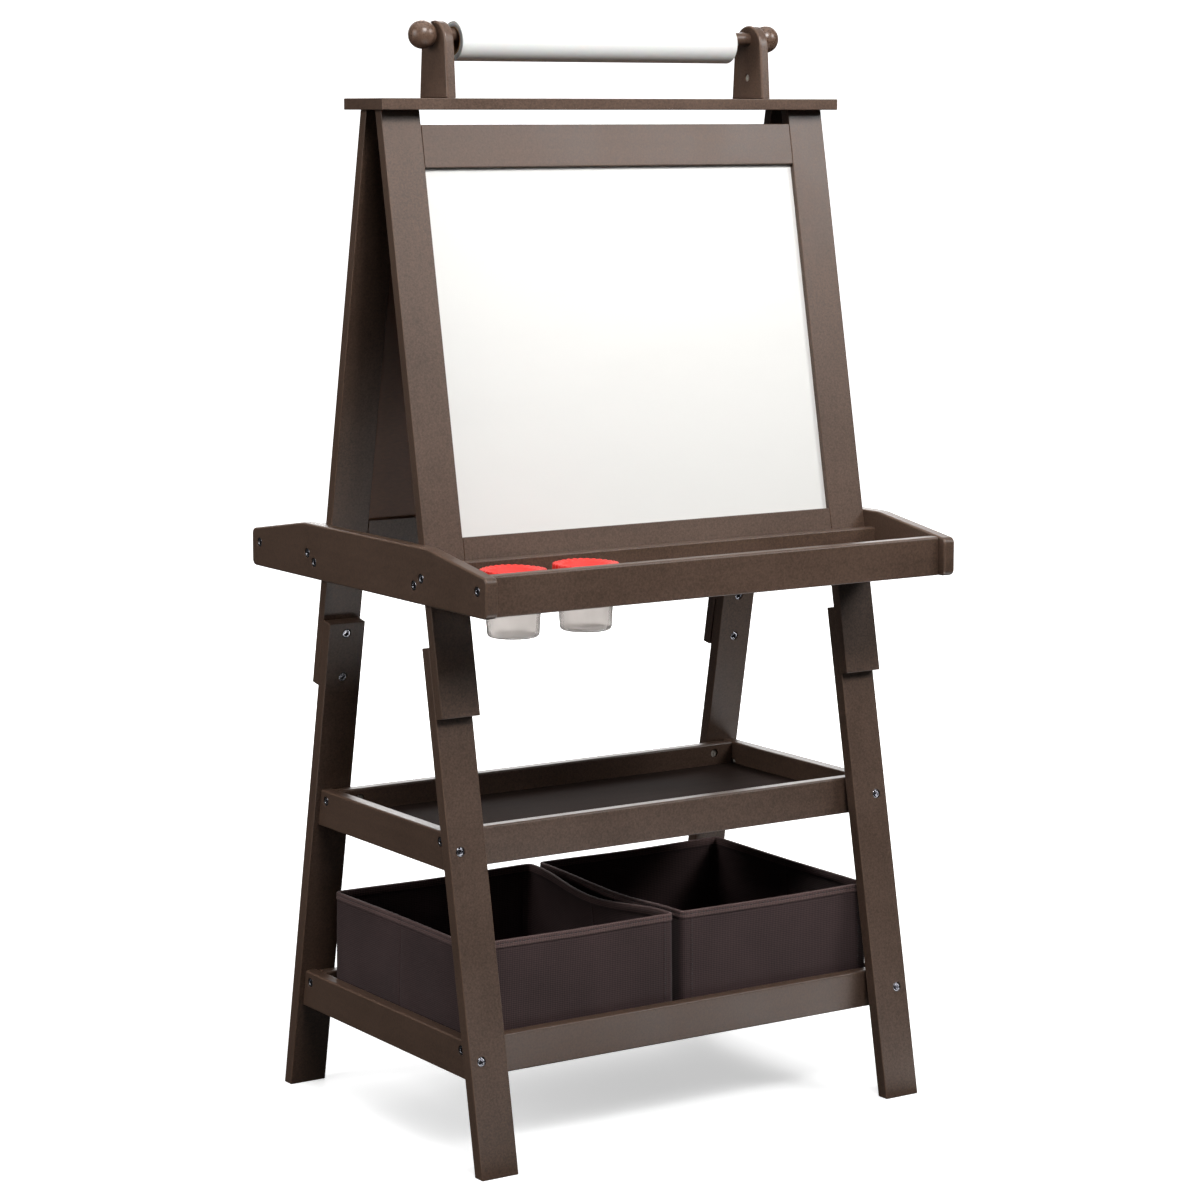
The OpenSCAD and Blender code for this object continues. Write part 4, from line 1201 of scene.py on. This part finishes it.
class EASEL_OT_cups(bpy.types.Operator):
    """Make the two clear cups and their fluted lids"""

    bl_idname = "easel.cups"
    bl_label = "Cups and lids"
    bl_options = {"REGISTER", "UNDO"}

    def execute(self, context):
        for side in ("left", "right"):
            low, high = corners("cup_" + side)
            origin = np.array([(low[0] + high[0]) / 2, (low[1] + high[1]) / 2, low[2]])
            top, flange = (high[2] - low[2]) / MM, (high[0] - low[0]) / 2 / MM
            seat = top - 16.0
            body, foot, wall = flange - 3.5, 28.25, 1.4
            profile = [[1, 1.0], [foot - 8, 0.9], [foot - 5.5, 0.1]]
            profile += arc((foot - 4.5, 4.5), 4.5, -80, -4, 7)
            profile += [[foot + (body - foot) * k, 5 + (seat - 7) * k] for k in (0.25, 0.5, 0.75)]
            profile += [[body, seat - 1], [body + 0.6, seat - 0.1], [flange - 0.5, seat],
                        [flange, seat + 0.6], [flange, seat + 1.4], [flange - 0.5, seat + 2],
                        [body + 0.4, seat + 2], [body, seat + 2.5], [body, top - 0.5],
                        [body - 0.3, top], [body - wall + 0.3, top], [body - wall, top - 0.5],
                        [body - wall, seat - 1]]
            profile += [[foot - wall + (body - foot) * k, 6 + (seat - 8) * k] for k in (0.75, 0.5, 0.25)]
            profile += arc((foot - 5.2, 6.0), 3.8, -6, -84, 6) + [[foot - 12, 2.3], [1, 2.3]]
            surface(f"cup_{side}_clear", [turned_grid(profile, 72, origin, Z)], [finish("cup_plastic")],
                    "cup_" + side, ["cup_" + side])
            self.lid(side)
        return {"FINISHED"}

    def lid(self, side):
        """The lid: a fluted skirt, a rounded rim with a slow wave, and a funnel down to its hole."""
        low, high = corners("cup_lid_" + side)
        origin = np.array([(low[0] + high[0]) / 2, (low[1] + high[1]) / 2, low[2]])
        top, skirt = (high[2] - low[2]) / MM, (high[0] - low[0]) / 2 / MM
        neck, hole = skirt - 4.9, 22.0
        profile = [[neck, 0.2], [neck + 0.3, 0], [skirt - 0.5, 0], [skirt, 0.4], [skirt, top * 0.35],
                   [skirt, top * 0.65]] + arc((skirt - 1.8, top - 1.8), 1.8, 0, 110, 7)
        profile += [[skirt - 3.4, top - 1.2], [neck - 1.5, top - 2.0], [neck - 3, top - 3.6],
                    [neck - 5, top - 5.4], [hole + 1.6, top - 7.2]]
        profile += arc((hole + 1.0, top - 8.6), 1.0, 75, 285, 7)
        profile += [[neck - 4, top - 5.9], [neck - 3.6, top - 4.6], [neck - 2.2, top - 3.2],
                    [neck - 0.4, top - 3.2], [neck, top - 3.6]]
        flutes = 30

        def shape(radius, height, a):
            rim = np.clip((radius / MM - (skirt - 3.6)) / 3.0, 0, 1) * (height / MM > 0.3)
            fluted = radius - 0.9 * MM * rim * (0.5 - 0.5 * np.cos(flutes * a))
            lift = np.clip((height / MM - top + 3) / 3, 0, 1) * (radius / MM > neck - 2)
            wave = 0.3 * MM * lift * (np.cos(3 * a + 1) - 1) + 0.32 * MM * lift * np.cos(flutes * a)
            return fluted, height + wave - 0.25 * MM * lift

        surface(f"lid_{side}_fluted", [turned_grid(profile, flutes * 6, origin, Z, shape)],
                [finish("lid_plastic")], "lid_" + side, ["cup_lid_" + side], closed=True)


class EASEL_OT_legs(bpy.types.Operator):
    """Make the four legs"""

    bl_idname = "easel.legs"
    bl_label = "Legs"
    bl_options = {"REGISTER", "UNDO"}

    def execute(self, context):
        bores = all_bores()
        for end in ("front", "back"):
            for side in ("left", "right"):
                board(f"{end}_leg_{side}", [finish("paint_upright")], sizes().leg_ease / MM, 1.2, 1.0, bores)
        return {"FINISHED"}


class EASEL_OT_shelves(bpy.types.Operator):
    """Make the middle and lower shelves"""

    bl_idname = "easel.shelves"
    bl_label = "Shelves"
    bl_options = {"REGISTER", "UNDO"}

    def execute(self, context):
        bores = all_bores()
        rail = sizes().rail_ease / MM
        for level in ("middle", "lower"):
            for side in ("left", "right"):
                board(f"{level}_side_rail_{side}", [finish("paint_deep")], 2.2, 0.4, 0.4, bores)
            for end in ("front", "back"):
                board(f"{level}_{end}_rail", [finish("paint_level")], 0.5, rail, 1.6, bores, gap=0.3)
            board(level + "_floor", [finish("paint_floor")], 0.2, 0.3, 0.3, ())
        return {"FINISHED"}


class EASEL_OT_bins(bpy.types.Operator):
    """Make the two fabric bins with their hems, seams and stitches"""

    bl_idname = "easel.bins"
    bl_label = "Fabric bins"
    bl_options = {"REGISTER", "UNDO"}

    def execute(self, context):
        for node in ("bin_left", "bin_right"):
            wall = BinWall(node)
            wall.shell(node)
            wall.stitches(node)
        return {"FINISHED"}


class EASEL_OT_bolts(bpy.types.Operator):
    """Make the socket head bolts and the barrel nuts"""

    bl_idname = "easel.bolts"
    bl_label = "Bolts and nuts"
    bl_options = {"REGISTER", "UNDO"}

    def execute(self, context):
        for node in BOLT_NODES:
            shank = 2.5 if node == "holder_bolts" else 3.0
            grids = [turned_grid(bolt_profile(length / MM, 5.0, shank), 24, middle, axis, hexagon(0, 1, 2.5))
                     for middle, axis, length in bolt_places(node)]
            surface(node + "_steel", grids, [finish("chrome")], "frame", [node])
        for node, radius in (("barrel_nuts", 5.0), ("holder_nuts", 4.0)):
            grids = []
            for middle, axis, half in nut_places(node):
                h = half / MM
                profile = [[0.4, h - 0.9]] + [[r, h] for r in (1.2, 2.2, 3.0)] + [[radius - 0.7, h]]
                profile += [[radius, h - 0.7], [radius, -h + 0.7], [radius - 0.7, -h], [0.5, -h]]
                grids.append(turned_grid(profile, 32, middle, axis, self.slotted))
            surface(node + "_steel", grids, [finish("zinc")], "frame", [node])
        return {"FINISHED"}

    @staticmethod
    def slotted(radius, height, a):
        """A screwdriver slot across the open end: 0.9 mm deep where a point is nearer than 0.8 mm to its
        middle line."""
        rows = np.arange(len(radius))[:, None]
        in_slot = (np.abs(radius * np.sin(a)) < 0.8 * MM) & (rows > 0) & (rows < 5)
        return radius, height - 0.9 * MM * in_slot


class EASEL_OT_kept(bpy.types.Operator):
    """Give the frame's own hidden pieces their finishes: dowels, inserts, screws and the bins' bases"""

    bl_idname = "easel.kept"
    bl_label = "Hidden pieces"
    bl_options = {"REGISTER", "UNDO"}

    def execute(self, context):
        for node, name in (("board_dowels", "birch"), ("holder_dowels", "birch"), ("post_inserts", "zinc"),
                           ("top_board_screws", "zinc"), ("bin_base_left", "base_card"),
                           ("bin_base_right", "base_card")):
            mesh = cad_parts[node].data
            mesh.materials.clear()
            mesh.materials.append(finish(name))
        return {"FINISHED"}


STEPS = (EASEL_OT_stage, EASEL_OT_top, EASEL_OT_rod, EASEL_OT_roll, EASEL_OT_posts, EASEL_OT_sheets,
         EASEL_OT_tray, EASEL_OT_cups, EASEL_OT_legs, EASEL_OT_shelves, EASEL_OT_bins, EASEL_OT_bolts,
         EASEL_OT_kept)


class EASEL_PT_pieces(bpy.types.Panel):
    """The easel's pieces, sizes and colours in the sidebar"""

    bl_label = "Kids Easel"
    bl_space_type = "VIEW_3D"
    bl_region_type = "UI"
    bl_category = "Easel"

    def draw(self, context):
        for step in STEPS:
            self.layout.operator(step.bl_idname)
        for group in (context.scene.easel_sizes, context.scene.easel_colours):
            for name in group.__annotations__:
                self.layout.prop(group, name)


CLASSES = (EaselSizes, EaselColours) + STEPS + (EASEL_PT_pieces,)


def register():
    for cls in CLASSES:
        bpy.utils.register_class(cls)
    bpy.types.Scene.easel_sizes = bpy.props.PointerProperty(type=EaselSizes)
    bpy.types.Scene.easel_colours = bpy.props.PointerProperty(type=EaselColours)


def unregister():
    del bpy.types.Scene.easel_colours
    del bpy.types.Scene.easel_sizes
    for cls in reversed(CLASSES):
        bpy.utils.unregister_class(cls)


def main():
    """Registers the add-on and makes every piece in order."""
    register()
    for step in STEPS:
        getattr(bpy.ops.easel, step.bl_idname.split(".")[1])()


if __name__ == "__main__":
    main()
